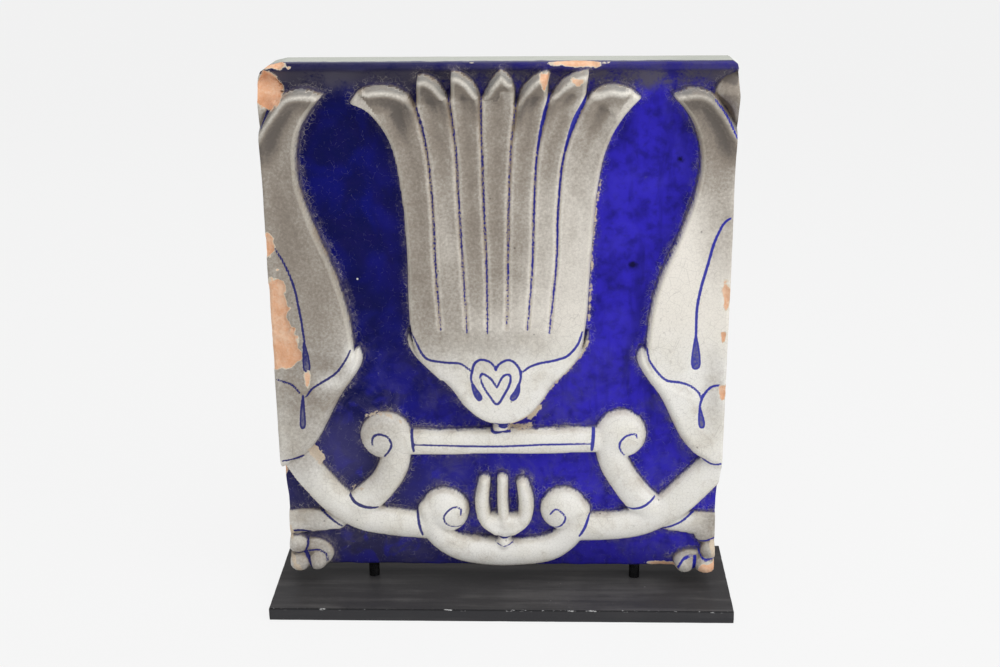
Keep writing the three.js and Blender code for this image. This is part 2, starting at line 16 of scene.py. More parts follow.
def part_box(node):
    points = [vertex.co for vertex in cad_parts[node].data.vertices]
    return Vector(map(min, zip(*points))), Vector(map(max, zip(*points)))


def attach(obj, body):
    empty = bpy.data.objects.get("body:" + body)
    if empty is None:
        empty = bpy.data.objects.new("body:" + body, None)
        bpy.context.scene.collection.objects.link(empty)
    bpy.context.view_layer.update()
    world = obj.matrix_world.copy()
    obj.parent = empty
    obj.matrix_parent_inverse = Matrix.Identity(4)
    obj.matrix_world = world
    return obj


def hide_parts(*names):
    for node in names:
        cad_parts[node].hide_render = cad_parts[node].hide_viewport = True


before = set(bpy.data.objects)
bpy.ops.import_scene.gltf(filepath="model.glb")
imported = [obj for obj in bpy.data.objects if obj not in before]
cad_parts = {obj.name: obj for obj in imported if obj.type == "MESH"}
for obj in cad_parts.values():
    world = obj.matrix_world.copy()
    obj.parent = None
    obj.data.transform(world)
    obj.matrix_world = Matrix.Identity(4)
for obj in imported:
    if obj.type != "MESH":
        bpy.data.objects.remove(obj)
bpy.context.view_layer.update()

bl_info = {
    "name": "Lotus frieze tile on a stand",
    "version": (1, 0, 0),
    "blender": (4, 5, 0),
    "location": "3D View > Sidebar > Frieze tile",
    "description": "Builds a glazed relief tile, its black stand and a plain studio around them",
    "category": "Add Mesh",
}

# Sizes of the solids, in millimetres
TILE_LOW, TILE_HIGH = (np.array(corner) * 1000 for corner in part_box("tile"))
BOARD_LOW, BOARD_HIGH = (np.array(corner) * 1000 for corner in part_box("base_plate"))
TILE_WIDTH = TILE_HIGH[0] - TILE_LOW[0]
TILE_HEIGHT = TILE_HIGH[2] - TILE_LOW[2]
TILE_BOTTOM = TILE_LOW[2]
BACK_Y = TILE_HIGH[1]
SLAB_THICKNESS = 25.5
GROUND_Y = BACK_Y - SLAB_THICKNESS
ACROSS = TILE_WIDTH / 100
UP = TILE_HEIGHT / 100

# The slab's top lip, and how its edges are rounded
LIP_REACH = 11.0
LIP_FACE = 6.0
COVE_HEIGHT = 34.0
EDGE_RADIUS = 1.8

# How fast a chip at the edge runs out over the top and the sides, for each millimetre back
CHIP_SHALLOWING = 0.35

# The top edge, knocked off at both corners: places across and heights there, in shares of the tile
TOP_PLACES = [-50, -49.4, -47.6, -45, 49, 49.8, 50]
TOP_HEIGHTS = [97.2, 98.4, 99.5, 100, 100, 99.5, 98.7]

# The sides, which draw in under the ribbons: levels and half widths there, in shares of the tile
SIDE_LEVELS = [0, 15, 24, 100]
SIDE_HALVES = [49.25, 49.25, 50, 50]

# Fineness of the tile's mesh and of a curve between two of its points
COLUMNS = 264
ROWS = 308
DEPTH_ROWS = 6
BACK_ROWS = 16
CURVE_STEPS = 24

# How far round a form its places are worked out, and what a place holds that no mark or lip is near to
MARGIN = 14.0
OUTSIDE = -8.0
FAR = 30.0

# Where the camera stood, for brushwork read off the plane through the petals' fronts
EYE_X = 41.6
EYE_W = 671.3
EYE_AWAY = 1209.0
FRONT_PLANE = 19.0
READ_TOO_HIGH = 0.6

# Relief, as heights over the blue ground
PETAL_FOOT = 16.5
PETAL_BODY = 19.5
PETAL_CURL = 6.0
PETAL_SCOOP = 3.2
RIM_DROP = 15.0
PETAL_LIP = 4.6
CALYX_HEIGHT = 17.5
SCROLL_HEIGHT = 14.0
VOLUTE_HEIGHT = 16.0
BAR_HEIGHT = 13.0
BAR_ROUNDNESS = 0.26
RIBBON_HEIGHT = 13.0
BUD_HEIGHT = 15.0
LEG_HEIGHT = 7.0
CORNER_FOOT = 9.0
BELOW = -4.0

# How far in from their outlines the walls and shoulders of the forms run
LOTUS_WALL = 4.2
SIDE_WALL = 3.0
CORNER_CLIMB = 19
SHOULDER = 9

# A petal's rim band, its gain where the rim looks up, and how far the swell runs down below the lip
RIM_BAND = 1.4
RIM_GAIN = 3.9
LIP_RUN = 10

# The grooves between petals: half width, depth at the foot and what is gained on the way up
GROOVE_HALF = 2.6
GROOVE_DEPTH = 0.9
GROOVE_GAIN = 2.8

# Long sags and short ripples in the glazed face, and the depth of a brush line
SAG = 0.35
RIPPLE = 0.14
LINE_DEPTH = 0.45

# The ornament, in shares of the tile
OUTER_LEFT = [
    (-13.8, 40.5), (-18.2, 45), (-19.9, 52), (-20, 63), (-20.2, 71.4), (-21, 77.8), (-22, 83.1),
    (-23.8, 87.4), (-27, 91.4), (-31, 92.9),
]
PETAL_LINES = [
    [(-10.2, 40), (-12.5, 45), (-12.8, 50.5), (-13.6, 63.2), (-13.8, 73.9), (-14.8, 84.5), (-17.1, 93)],
    [(-5.8, 40), (-6.8, 45), (-7, 50.5), (-7.7, 63.2), (-8.2, 73.9), (-8.7, 84.5), (-9.9, 94)],
    [(-2.1, 40), (-2.4, 45), (-2.5, 50.5), (-2.5, 63.2), (-2.9, 73.9), (-3.2, 84.5), (-3.3, 94)],
    [(1.4, 40), (1.6, 45), (1.7, 50.5), (2.1, 63.2), (2.4, 73.9), (2.9, 84.5), (4, 93)],
    [(5.1, 40), (6, 45), (6.2, 50.5), (7.4, 63.2), (7.7, 73.9), (8.5, 84.5), (11, 94)],
    [(9, 40), (10.7, 45), (11, 50.5), (12.5, 63.2), (12.9, 73.9), (14.3, 84.5), (18.8, 94)],
]
OUTER_RIGHT = [
    (13.4, 40.5), (17.8, 45), (19.3, 52), (20.1, 63), (20.8, 71.4), (21.6, 77.8), (22.8, 83.1),
    (24.6, 87.4), (27.1, 90.8), (30.4, 93.8),
]
LEFT_TIP_TOP = [(-18.3, 94.5), (-21, 95.9), (-25, 96.3), (-28.6, 95.5), (-31, 92.9)]
RIGHT_TIP_TOP = [(20.2, 95.2), (22.6, 96.1), (25, 96.2), (28, 95.4), (30.4, 93.8)]

# The five inner petals: tip, shoulder points on its left and on its right, side it leans from
INNER_TIPS = [
    ((-16.7, 98), [], [(-10.7, 95.3), (-12.2, 97), (-14.5, 98.1)], 1),
    ((-9.6, 98.8), [], [(-3.8, 95.3), (-5, 97), (-7.3, 98.5)], 1),
    ((0.8, 99.1), [(-2.4, 95.4), (-1.2, 97.3)], [(3.9, 95.7), (2.8, 97.8)], 0),
    ((10.8, 98.9), [(5, 95.4), (6.6, 97.1), (8.7, 98.4)], [], -1),
    ((19.4, 99.1), [(11.9, 95.3), (13.6, 97.2), (16.4, 98.6)], [], -1),
]
CALYX = [
    (-20.2, 50.2), (-20.5, 47.6), (-19, 45), (-16.7, 42.8), (-13.2, 40.2), (-10.7, 37.9), (-8.4, 34.9),
    (-5.1, 32.3), (-1.6, 31), (2, 30.9), (5.6, 32), (8.4, 34.2), (10.6, 37), (12.6, 39.9), (16, 43),
    (18.7, 45.6), (19.8, 48), (19.5, 50.2), (17.4, 45.9), (8, 44), (0, 43.4), (-8, 43.8), (-15.5, 44.6),
    (-18.2, 46.8),
]
SIDE_OUTER = [
    (36.4, 37), (32.5, 43.4), (32.2, 47.6), (33.2, 54.7), (35.6, 62), (39.2, 69.7), (42.1, 77.8),
    (42.4, 84.2), (40.1, 90.2), (36, 94.5),
]
SIDE_INNER = [
    (53, 29), (53, 50), (53, 62), (53, 72), (53, 80), (51, 87), (47.6, 92), (44.4, 95), (40.2, 95.7),
    (36, 94.5),
]
SIDE_CALYX = [
    (31, 46.8), (30.2, 44.6), (31.6, 41.6), (35.6, 36.8), (38.4, 32), (41.2, 27.6), (45.3, 24.2),
    (53, 22.6), (53, 43), (44.6, 39), (38.6, 40.6), (34.2, 43.2), (32.2, 46.4),
]
CORNER_OUTLINE = [(53, 84), (50.6, 86.5), (48, 91.4), (45, 94.4), (46.6, 97), (49.8, 98.3), (53, 98.3)]
BAR = [(-21, 27), (0, 27.3), (21.4, 27.7)]
BAR_WIDTHS = [3.2, 3.15, 3.1]
KNOT = ((0.1, 30.4), 2.2, 1.3, 14)
VOLUTES = [((-26, 28.4), 5.9), ((27.2, 28.8), 5.9), ((-12.9, 12.5), 5.7), ((14.3, 12.9), 5.5)]
LEFT_STEM = [(-24, 29.4), (-23.7, 26.4), (-24.3, 22.6), (-26.2, 19.3), (-29.2, 16.2), (-32.7, 13.6)]
RIGHT_STEM = [(25, 29.4), (24.9, 26.4), (26, 22.4), (28.2, 19.1), (31.1, 15.8), (34, 13.2)]
STEM_WIDTHS = [3.4, 3.5, 3.6, 3.6, 3.7, 3.8]
LEFT_RIBBON = [
    (-50.5, 29.3), (-47.3, 25.5), (-43.4, 20.1), (-37.8, 14.4), (-32.3, 11.3), (-27, 10.1), (-17.5, 9.2),
]
RIGHT_RIBBON = [
    (51, 24.6), (48.6, 22.4), (44.8, 18.7), (39.2, 13.8), (33.9, 11), (27.6, 9.5), (17.5, 8.8),
]
RIBBON_WIDTHS = [3.9, 4, 4, 3.9, 3.8, 3.6, 3.5]
LOWER_SCROLL = [
    (-16.7, 12.6), (-15.7, 9), (-13.2, 6.2), (-8.4, 4.2), (0.7, 3.4), (9.6, 4), (14.3, 6.2), (17, 9.2),
    (17.9, 12.8),
]
LOWER_WIDTHS = [2.7, 3.1, 3.4, 3.6, 3.6, 3.6, 3.4, 3.1, 2.7]
BUD_CUP = [
    (-5.2, 12.8), (-4.9, 10.8), (-3.7, 8.9), (-1.6, 7.3), (0.7, 6.7), (3.2, 7.2), (5.4, 8.8),
    (6.6, 10.9), (6.9, 12.8), (4.4, 12.2), (0.8, 12), (-2.8, 12.2),
]
BUD_FINGERS = [
    ([(-1.2, 8.6), (-3.5, 10.6), (-4.3, 14.2), (-3.8, 19.2)], [1.5, 1.8, 1.8, 1.5]),
    ([(0.6, 10.2), (0.5, 14.2), (0.3, 19.6)], [1.5, 1.4, 1.4]),
    ([(2.6, 8.6), (5, 10.6), (5.8, 14.2), (4.9, 18.6)], [1.5, 1.9, 1.9, 1.6]),
]
COLLAR = ((0.7, 5.8), 2.1)
LEGS = [([(-51, 9.5), (-45.5, 9.8), (-38.4, 10)], [3.2, 3.1, 2.6]),
        ([(51, 9.4), (45.5, 9.7), (39, 9.9)], [3.2, 3.1, 2.4])]
PAWS = [
    ((-44.4, 2.8), 5.3, 4.2, 9), ((-47.4, 5.2), 2.8, 2.4, 15), ((-47.2, 1.5), 2.6, 2.7, 19),
    ((-43.1, 1.6), 2.4, 2.5, 18), ((47.4, 7.9), 3, 3, 9), ((44.9, 1.8), 5, 3, 10),
    ((48.3, 4.3), 2.2, 2.5, 15), ((47.3, 1.3), 2.6, 2.5, 19), ((42.6, 1.4), 2.4, 2.5, 18),
]

# The brushwork: height of the surface, half width, wear, points
BRUSH_LINES = [
    (19, 1.35, 0.75, [(-51, 240), (-54, 300), (-55, 350), (-59, 400), (-68, 440)]),
    (19, 1.35, 0.75, [(-28, 237), (-30.5, 300), (-32.5, 350), (-34.5, 400), (-39.5, 445)]),
    (19, 1.35, 0.75, [(-10, 237), (-10, 300), (-11.5, 350), (-12.5, 400), (-13, 445)]),
    (19, 1.3, 0.95, [(7, 243), (8.5, 300), (9.5, 350), (11.5, 400), (16, 440)]),
    (19, 1.3, 0.45, [(25, 240), (29.5, 300), (31, 350), (34, 400), (44, 445)]),
    (19, 1.3, 0.35, [(44, 237), (50, 300), (51.5, 350), (57, 400), (75, 445)]),
    (19, 1.1, 0.3, [(-59, 400), (-62, 420), (-68, 440)]),
    (19, 1.0, 0.4, [(-34.5, 400), (-37, 425), (-41, 448)]),
    (19, 1.5, 0.2, [(34, 400), (38, 425), (44, 447)]),
    (19, 1.6, 0.1, [(57, 400), (64, 425), (75, 446)]),
    (17, 1.4, 0.15, [(-77, 238), (-72, 228), (-68, 219), (-62, 213), (-48, 210.5), (-35, 209.5),
        (-28, 205), (-24, 201)]),
    (17, 1.4, 0.15, [(73, 240), (69, 228), (60, 217), (48, 212.5), (36, 210), (27, 206.5), (21, 202)]),
    (17, 1.3, 0, [(-24, 190), (-25, 197), (-24, 201), (-22, 209), (-17, 213), (-10, 212), (-5, 208),
        (-3, 203)]),
    (17, 1.3, 0, [(-3, 203), (0, 209), (8, 213), (14, 210), (18, 204), (19, 197), (17.5, 190)]),
    (17, (1.6, 4.0), 0, [(-24, 191), (-21.5, 184), (-17.8, 177)]),
    (17, (1.6, 4.0), 0, [(17.5, 191), (15.5, 183), (12, 177)]),
    (17, 1.3, 0.05, [(-17, 197), (-15.5, 200), (-12, 199), (-7, 195), (-2, 187)]),
    (17, 1.3, 0.05, [(-2, 187), (2, 196), (6, 199.5), (10, 198), (9, 190), (4, 180), (-2, 171), (-8, 178),
        (-14, 188), (-17, 197)]),
    (16, 1.7, 0.1, [(-6, 151.3), (-1.5, 150.7), (2, 150.2), (5.2, 150.4), (8.2, 151.3)]),
    (12, 1.6, 0.1, [(-8.3, 145), (-5.2, 143), (-1.6, 143.2), (2, 144.4), (5.1, 144), (9.1, 144)]),
    (14, 1.0, 0.1, [(-7.2, 150.5), (-8.7, 148), (-8.5, 145)]),
    (15, 2.1, 0.1, [(0, 149.2), (4, 148.6), (8.5, 148.8)]),
    (13, 1.25, 0.1, [(-79, 131.5), (-50, 130.5), (0, 130), (40, 132), (83, 133)]),
    (13, 1.6, 0.1, [(-80, 148), (-79, 136), (-78, 124)]),
    (13, 1.8, 0, [(84, 150), (83.5, 138), (82.5, 126)]),
    (15, 1.3, 0.1, [(-115, 129), (-115, 136), (-112, 140.5), (-107, 141.5), (-101, 139), (-98, 133),
        (-99, 127), (-105, 118)]),
    (13, 1.8, 0.1, [(-138, 79.5), (-133, 74), (-124, 69.5), (-113, 67.5)]),
    (15, 1.2, 0.1, [(123, 137), (122, 141), (118, 142), (112, 140), (107.5, 134), (108, 127),
        (112, 120)]),
    (13, 1.4, 0.1, [(114, 68), (120, 68), (130, 71.5), (140, 79)]),
    (13, 1.4, 0.2, [(-197, 117), (-187, 117.5), (-178, 120)]),
    (13, 1.4, 0.2, [(180, 119), (190, 114), (198, 116)]),
    (13, 1.5, 0.1, [(-77, 65), (-75, 52), (-72, 40)]),
    (13, 1.5, 0.1, [(81, 60), (77, 49), (72, 40)]),
    (8, 1.4, 0.2, [(-178, 76), (-160, 60), (-146, 48)]),
    (8, 1.3, 0.2, [(143, 45), (150, 48), (163, 54), (172, 61), (178, 66)]),
    (14, 1.1, 0.1, [(-37, 60), (-36.5, 66), (-41, 69), (-47, 67), (-52, 60), (-50, 53), (-44, 49),
        (-36, 48)]),
    (14, 1.1, 0.1, [(45, 62), (50, 68), (55, 66), (59, 60), (57, 53), (52, 48), (45, 46)]),
    (14, 1.1, 0.1, [(-6, 39), (3, 37), (12, 39)]),
    (14, 1.0, 0.2, [(-6, 32), (3, 30), (12, 32)]),
    (20, 1.2, 0.2, [(-180, 452), (-190, 438), (-198, 419)]),
    (17, 1.3, 0.2, [(-198, 194), (-185, 189), (-178, 181)]),
    (17, 1.3, 0.2, [(-131, 222), (-136, 212), (-145, 200), (-158, 191), (-167, 185), (-172, 178)]),
    (17, (1.4, 3.6), 0, [(-175, 179), (-176, 168), (-176.5, 158), (-177, 149)]),
    (20, 1.3, 0.1, [(-193, 315), (-185, 300), (-178, 280), (-174, 255), (-172, 235), (-171, 215)]),
    (20, (1.6, 4.4), 0, [(-172, 228), (-171.2, 215), (-171, 203)]),
    (20, 1.2, 0.2, [(180, 443), (190, 430), (200, 410)]),
    (20, 1.4, 0, [(198, 341), (192, 336), (185, 320), (180, 300), (175, 280), (172, 260), (172, 240),
        (172, 225)]),
    (20, (1.8, 5.4), 0, [(172, 234), (172.5, 220), (173, 207)]),
    (17, 1.35, 0.1, [(130, 223), (132, 213), (140, 201), (148, 194), (160, 192), (170, 188), (177, 181),
        (178.5, 173)]),
    (17, 1.35, 0.1, [(195, 190), (187, 188), (181, 181), (178, 173), (177.5, 165)]),
    (17, (1.6, 3.8), 0, [(177.5, 168), (179, 158), (180, 151)]),
    (10, 1.6, 0.2, [(-195, 42), (-186, 43), (-176, 41)]),
    (12, 1.2, 0.1, [(-181, 38), (-179, 30), (-182, 22)]),
    (12, 1.1, 0.1, [(-198, 25), (-190, 22), (-182, 22)]),
    (12, 1.7, 0, [(-182, 22), (-178, 15), (-176, 8)]),
    (12, 1.1, 0.1, [(-180, 22), (-170, 23), (-163, 18), (-162, 10)]),
    (12, 1.2, 0.1, [(180, 33), (188, 34), (196, 37)]),
    (12, 1.1, 0.1, [(180, 33), (182, 24), (186, 18), (196, 18)]),
    (12, 1.1, 0.1, [(178, 19), (168, 18), (163, 10), (163, 4)]),
    (12, 1.7, 0, [(179, 19), (178, 12), (177, 5)]),
]

# Chips: height of the surface, centre, half width, half height, depth, how far it runs to three corners
CHIPS = [
    (16, (-191, 452), 10, 16, 4.0, 0.0),
    (10, (-189, 475), 14, 5.5, 4.0, 0.0),
    (20, (-196, 250), 12, 44, 3.0, 0.0),
    (20, (-199, 315), 6, 9, 2.5, 0.0),
    (20, (-187, 222), 12, 17, 2.6, 0.0),
    (11, (65, 473.6), 22, 3.4, 2.2, 0.0),
    (22, (39.8, 458.5), 3.3, 6.2, 1.2, 0.22),
    (20, (67.4, 458.5), 4.2, 3.2, 1.2, 0.22),
    (18, (197, 273), 3.5, 11, 2.0, 0.1),
    (16, (197, 185), 4, 7, 2.0, 0.1),
    (0, (147, 12.6), 11, 2.6, 1.0, 0.2),
    (20, (-171, 193), 2.0, 5.5, 0.6, 0.1),
    (14, (190, 8), 7.5, 7, 0.4, 0.2),
    (13, (-200, 101), 3.5, 6, 1.5, 0.1),
    (11, (-20, 476.5), 3, 1.6, 0.8, 0.2),
    (20, (196, 235), 2.4, 5, 1.0, 0.2),
]

# Marks in the blue, in metres: two dark spots with their reach, a white dot, and a pale patch by a scroll
DARK_SPOTS = [(0.1169, 0.3241, 0.0062), (0.1549, 0.4177, 0.0048)]
WHITE_DOT = (-0.1244, 0.3114)
PALE_PATCH = (-0.145, 0.152)

# Where the thin glaze has gone to tan slip: height of the surface, half width, points
TAN_EDGES = [
    (12, 1.7, [(9, 150.6), (14.6, 154), (20.8, 157), (27, 160.5), (33, 166), (38, 173), (43, 180)]),
    (12, 1.5, [(8, 146), (14.5, 145.8), (20, 146), (27, 147)]),
    (9, 2.8, [(26, 155), (35, 165)]),
    (9, 1.7, [(44, 182), (53, 193), (62, 203), (70, 213), (78, 228)]),
    (12, 3.0, [(-171, 125), (-167, 119), (-163, 113)]),
    (14, 2.6, [(-193, 16), (-189, 9), (-186, 5)]),
    (13, 2.2, [(194, 33), (195, 22)]),
    (13, 1.8, [(-196, 46), (-194, 36)]),
    (12, 0.8, [(-137, 84), (-125, 87)]),
    (15, 0.9, [(79, 245), (81, 300), (84, 345), (88, 372)]),
    (12, 0.7, [(-121, 155), (-104, 159.5), (-89, 152)]),
]

# Paler patches in the midst of the grey: clean glaze, and on the left sepal's ridge a painted highlight:
# centre, half width, half height, amount
CLEAN_AND_HIGHLIGHT = [
    ((-128, 212), 8, 16, 0.85), ((-150, 190), 16, 9, 0.55), ((-25, 452), 22, 9, 0.35),
    ((70, 455), 22, 9, 0.30), ((-160, 375), 12, 60, 0.30), ((-44, 330), 12, 60, 0.34),
]

# Grey in the white glaze, partly greyed glaze and partly painted shade on the less lit left and upper parts:
# centre, half width, half height, amount
SMOKE_AND_SHADE = [
    ((-166, 340), 78, 150, 0.95), ((-165, 190), 55, 62, 0.76), ((-50, 390), 62, 130, 0.86),
    ((-62, 290), 34, 80, 0.62), ((0, 320), 50, 90, 0.76), ((30, 420), 60, 55, 0.80),
    ((172, 415), 52, 62, 0.95), ((195, 330), 26, 60, 0.55), ((165, 395), 26, 34, 0.35),
    ((-105, 145), 26, 26, 0.38), ((-178, 20), 30, 30, 0.80), ((178, 17), 28, 26, 0.80),
    ((0, 25), 60, 14, 0.12), ((-120, 100), 16, 20, 0.25), ((-185, 120), 22, 30, 0.30),
    ((95, 400), 30, 40, 0.45), ((0, 225), 60, 16, 0.30), ((70, 330), 32, 90, 0.34),
    ((190, 180), 14, 46, 0.48), ((-115, 60), 40, 16, 0.12), ((0, 45), 90, 22, 0.06),
    ((195, 50), 13, 24, 0.70), ((-160, 105), 36, 24, 0.30), ((-108, 100), 22, 30, 0.26),
    ((-185, 55), 26, 12, 0.45), ((112, 100), 22, 26, 0.26), ((-60, 250), 22, 60, 0.20),
    ((-88, 418), 15, 24, 0.55), ((195, 455), 14, 24, 0.85),
]


def drawn(points):
    """Shares of the tile as millimetres: x times a hundredth of its width, w times one of its height."""
    return np.asarray(points, float) * (ACROSS, UP)


def seen(points, height):
    """Where marks read off the front plane really are, on a surface `height` over the ground. The line of
    sight is followed on past the plane: each distance from the eye grows by (away + plane - height) over
    away."""
    grow = (EYE_AWAY + FRONT_PLANE - height) / EYE_AWAY
    x, v = np.asarray(points, float).T
    return np.column_stack([EYE_X + (x - EYE_X) * grow, EYE_W - (EYE_W - v + READ_TOO_HIGH) * grow])


def curve_through(points, count=48):
    """A Catmull-Rom curve as equally spaced points. Between b and c, with a before and d after, at share t,
    it is b + (c-a) t/2 + (2a-5b+4c-d) t²/2 + (3b-a-3c+d) t³/2."""
    p = np.asarray(points, float)
    p = np.vstack([p[:1], p, p[-1:]])
    a, b, c, d = (p[k:len(p) - 3 + k, None] for k in range(4))
    t = np.linspace(0, 1, CURVE_STEPS, endpoint=False)[None, :, None]
    dense = b + (c - a) * t / 2 + (2 * a - 5 * b + 4 * c - d) * t ** 2 / 2
    dense = dense + (3 * b - a - 3 * c + d) * t ** 3 / 2
    dense = np.vstack([dense.reshape(-1, 2), p[-1:]])
    walked = np.concatenate([[0], np.cumsum(np.hypot(*np.diff(dense, axis=0).T))])
    stops = np.linspace(0, walked[-1], count)
    return np.column_stack([np.interp(stops, walked, dense[:, k]) for k in (0, 1)])


def nearest_on(line, at):
    """How far each place is from the line, the share of the line's length where it is nearest, and that
    nearest point. Each piece of the line is met at the foot of the perpendicular, held to its ends."""
    far = np.full(len(at), np.inf)
    share = np.zeros(len(at))
    foot = np.zeros_like(at)
    pieces = len(line) - 1
    for k in range(pieces):
        step = line[k + 1] - line[k]
        along = np.clip(((at - line[k]) @ step) / max(step @ step, 1e-12), 0, 1)
        point = line[k] + along[:, None] * step
        gap = np.hypot(*(at - point).T)
        closer = gap < far
        far = np.where(closer, gap, far)
        share = np.where(closer, (k + along) / pieces, share)
        foot = np.where(closer[:, None], point, foot)
    return far, share, foot


def encloses(outline, at):
    """Whether a place is inside a closed outline: a level ray from it crosses the outline an odd number of
    times."""
    odd = np.zeros(len(at), bool)
    for (ax, aw), (bx, bw) in zip(outline, np.roll(outline, -1, axis=0)):
        if aw != bw:
            crossed = (aw > at[:, 1]) != (bw > at[:, 1])
            odd ^= crossed & (at[:, 0] < (bx - ax) * (at[:, 1] - aw) / (bw - aw) + ax)
    return odd


def close_by(points, at, margin):
    """Which places lie in the points' box, widened by a margin."""
    low, high = points.min(0) - margin, points.max(0) + margin
    return np.all((at > low) & (at < high), axis=1)


def ease(value, low, high):
    """0 below low, 1 above high, and 3t² - 2t³ between them."""
    t = np.clip((value - low) / (high - low), 0, 1)
    return t * t * (3 - 2 * t)


def joined(a, b, fillet=1.6):
    """The higher of two heights, with a fillet where they cross: a quarter of (fillet - gap)² / fillet
    is added."""
    return np.maximum(a, b) + np.clip(fillet - np.abs(a - b), 0, None) ** 2 / (4 * fillet)


def unevenness(at, size, seed):
    """Smooth random numbers from -1 to 1, about `size` from one hill to the next: a lattice of random
    values, blended with 3t² - 2t³ across each cell."""
    table = np.random.default_rng(seed).uniform(-1, 1, (64, 64))
    place = at / size + 1000
    cell = np.floor(place).astype(int)
    t = place - cell
    t = t * t * (3 - 2 * t)
    i, j = cell[:, 0] % 64, cell[:, 1] % 64
    near = table[i, j] * (1 - t[:, 0]) + table[(i + 1) % 64, j] * t[:, 0]
    over = table[i, (j + 1) % 64] * (1 - t[:, 0]) + table[(i + 1) % 64, (j + 1) % 64] * t[:, 0]
    return near * (1 - t[:, 1]) + over * t[:, 1]


class Relief:
    """Heights over the blue ground at a set of places, and how far inside the white relief each is."""

    def __init__(self, at):
        self.at = at
        self.height = cove(at[:, 1])
        self.edge = np.full(len(at), -MARGIN)
        self.rib = np.full(len(at), FAR)
        self.lip = np.full(len(at), FAR)

    def raise_by(self, near, inside, height, rib=FAR, lip=FAR):
        """Joins one raised form to the rest. `inside` is how far in from its outline each near place is,
        `rib` how far from a groove and `lip` how far below a petal's lip."""
        tall = np.where(inside > 0, height, BELOW)
        above = tall > self.height[near]
        self.rib[near] = np.where(above, rib, self.rib[near])
        self.lip[near] = np.where(above, lip, self.lip[near])
        self.height[near] = joined(self.height[near], tall)
        self.edge[near] = np.maximum(self.edge[near], inside)

    def stroke(self, points, widths, height, roundness=0.38):
        """A band along a path. Across it, from -1 to 1, its height is height times (1 - across²) to the
        power of its roundness."""
        line = curve_through(drawn(points))
        widths = np.asarray(widths) * ACROSS
        near = close_by(line, self.at, widths.max() + MARGIN)
        far, share, _ = nearest_on(line, self.at[near])
        half = np.interp(share, np.linspace(0, 1, len(widths)), widths)
        across = np.clip(far / half, 0, 1)
        self.raise_by(near, half - far, height * (1 - across ** 2) ** roundness)

    def boss(self, centre, radius_across, radius_up, height):
        """A dome on an ellipse: height times (1 - radius²) to 0.42, the radius 1 at its outline."""
        middle = drawn([centre])[0]
        radii = np.array([radius_across, radius_up]) * ACROSS
        near = close_by(middle[None], self.at, radii.max() + MARGIN)
        radius = np.hypot(*((self.at[near] - middle) / radii).T)
        inside = (1 - radius) * radii.min()
        self.raise_by(near, inside, height * np.clip(1 - radius ** 2, 0, 1) ** 0.42)

    def cushion(self, points, height, shoulder):
        """A flat-topped form in a closed outline, its shoulders rounded off over `shoulder`: at a share u of
        that way in, its height is height times (1 - (1 - u)²) to 0.45."""
        outline = curve_through(drawn(points + points[:1]), 90)
        near = close_by(outline, self.at, MARGIN)
        far, _, _ = nearest_on(outline, self.at[near])
        inside = np.where(encloses(outline, self.at[near]), far, -far)
        share = np.clip(inside / shoulder, 0, 1)
        self.raise_by(near, inside, height * (1 - (1 - share) ** 2) ** 0.45)


def cove(w):
    """How far the ground leans forward under the top lip: the lip's reach times 1 - sqrt(1 - t²), with t
    running up the cove. Over the lip's front edge and the foot it is rounded back."""
    foot = TILE_HEIGHT - LIP_FACE - COVE_HEIGHT
    t = np.clip((w - foot) / COVE_HEIGHT, 0, 1)
    return LIP_REACH * (1 - np.sqrt(1 - t ** 2))


def petal_face(at, left, right, lean):
    """Height of one petal at places, how far inside it they are and how far below its lip. s runs from -1
    to 1 between its two edges by their distances, t along them. The face rises from the foot, is scooped by
    1 - s², curls forward near the tip, swells to a lip there, and past the lip falls away in a band along
    the rim, which is wide where the rim looks up or to the axis."""
    gap_left, share_left, foot_left = nearest_on(left, at)
    gap_right, share_right, foot_right = nearest_on(right, at)
    whole = gap_left + gap_right + 1e-6
    s = (gap_left - gap_right) / whole
    t = (share_left * gap_right + share_right * gap_left) / whole
    far = np.minimum(gap_left, gap_right)
    upper = gap_right if lean > 0 else gap_left if lean < 0 else far
    foot_upper = foot_right if lean > 0 else foot_left if lean < 0 else np.where(
        (gap_left < gap_right)[:, None], foot_left, foot_right)
    out = (foot_upper - at) / (upper[:, None] + 1e-6)
    outline = np.vstack([left, right[::-1]])
    inside = np.where(encloses(outline, at), far, -far)
    out *= np.where(inside < 0, -1, 1)[:, None]
    upward = ease(0.85 * out[:, 1] + 0.6 * lean * out[:, 0] + 0.25 * (lean == 0), 0.1, 0.75)
    band = RIM_BAND + RIM_GAIN * upward
    body = PETAL_FOOT + (PETAL_BODY - PETAL_FOOT) * ease(t, 0, 0.5) + PETAL_CURL * ease(t, 0.76, 0.93)
    scoop = PETAL_SCOOP * ease(t, 0.15, 0.7) * (1 - s ** 2)
    curled = ease(t, 0.60, 0.86) * upward
    lip = PETAL_LIP * curled * (1 - ease(upper, band, band + LIP_RUN))
    falling = (1 - ease(upper / band, 0, 1)) * (0.25 + 0.75 * upward)
    fall = RIM_DROP * ease(t, 0.62, 0.93) * np.maximum(falling, 0.2 * (1 - ease(far / 1.6, 0, 1)))
    below_lip = np.where(inside > -1, upper - band + FAR * (1 - curled) ** 2, FAR)
    return body - scoop + lip - fall, inside, below_lip


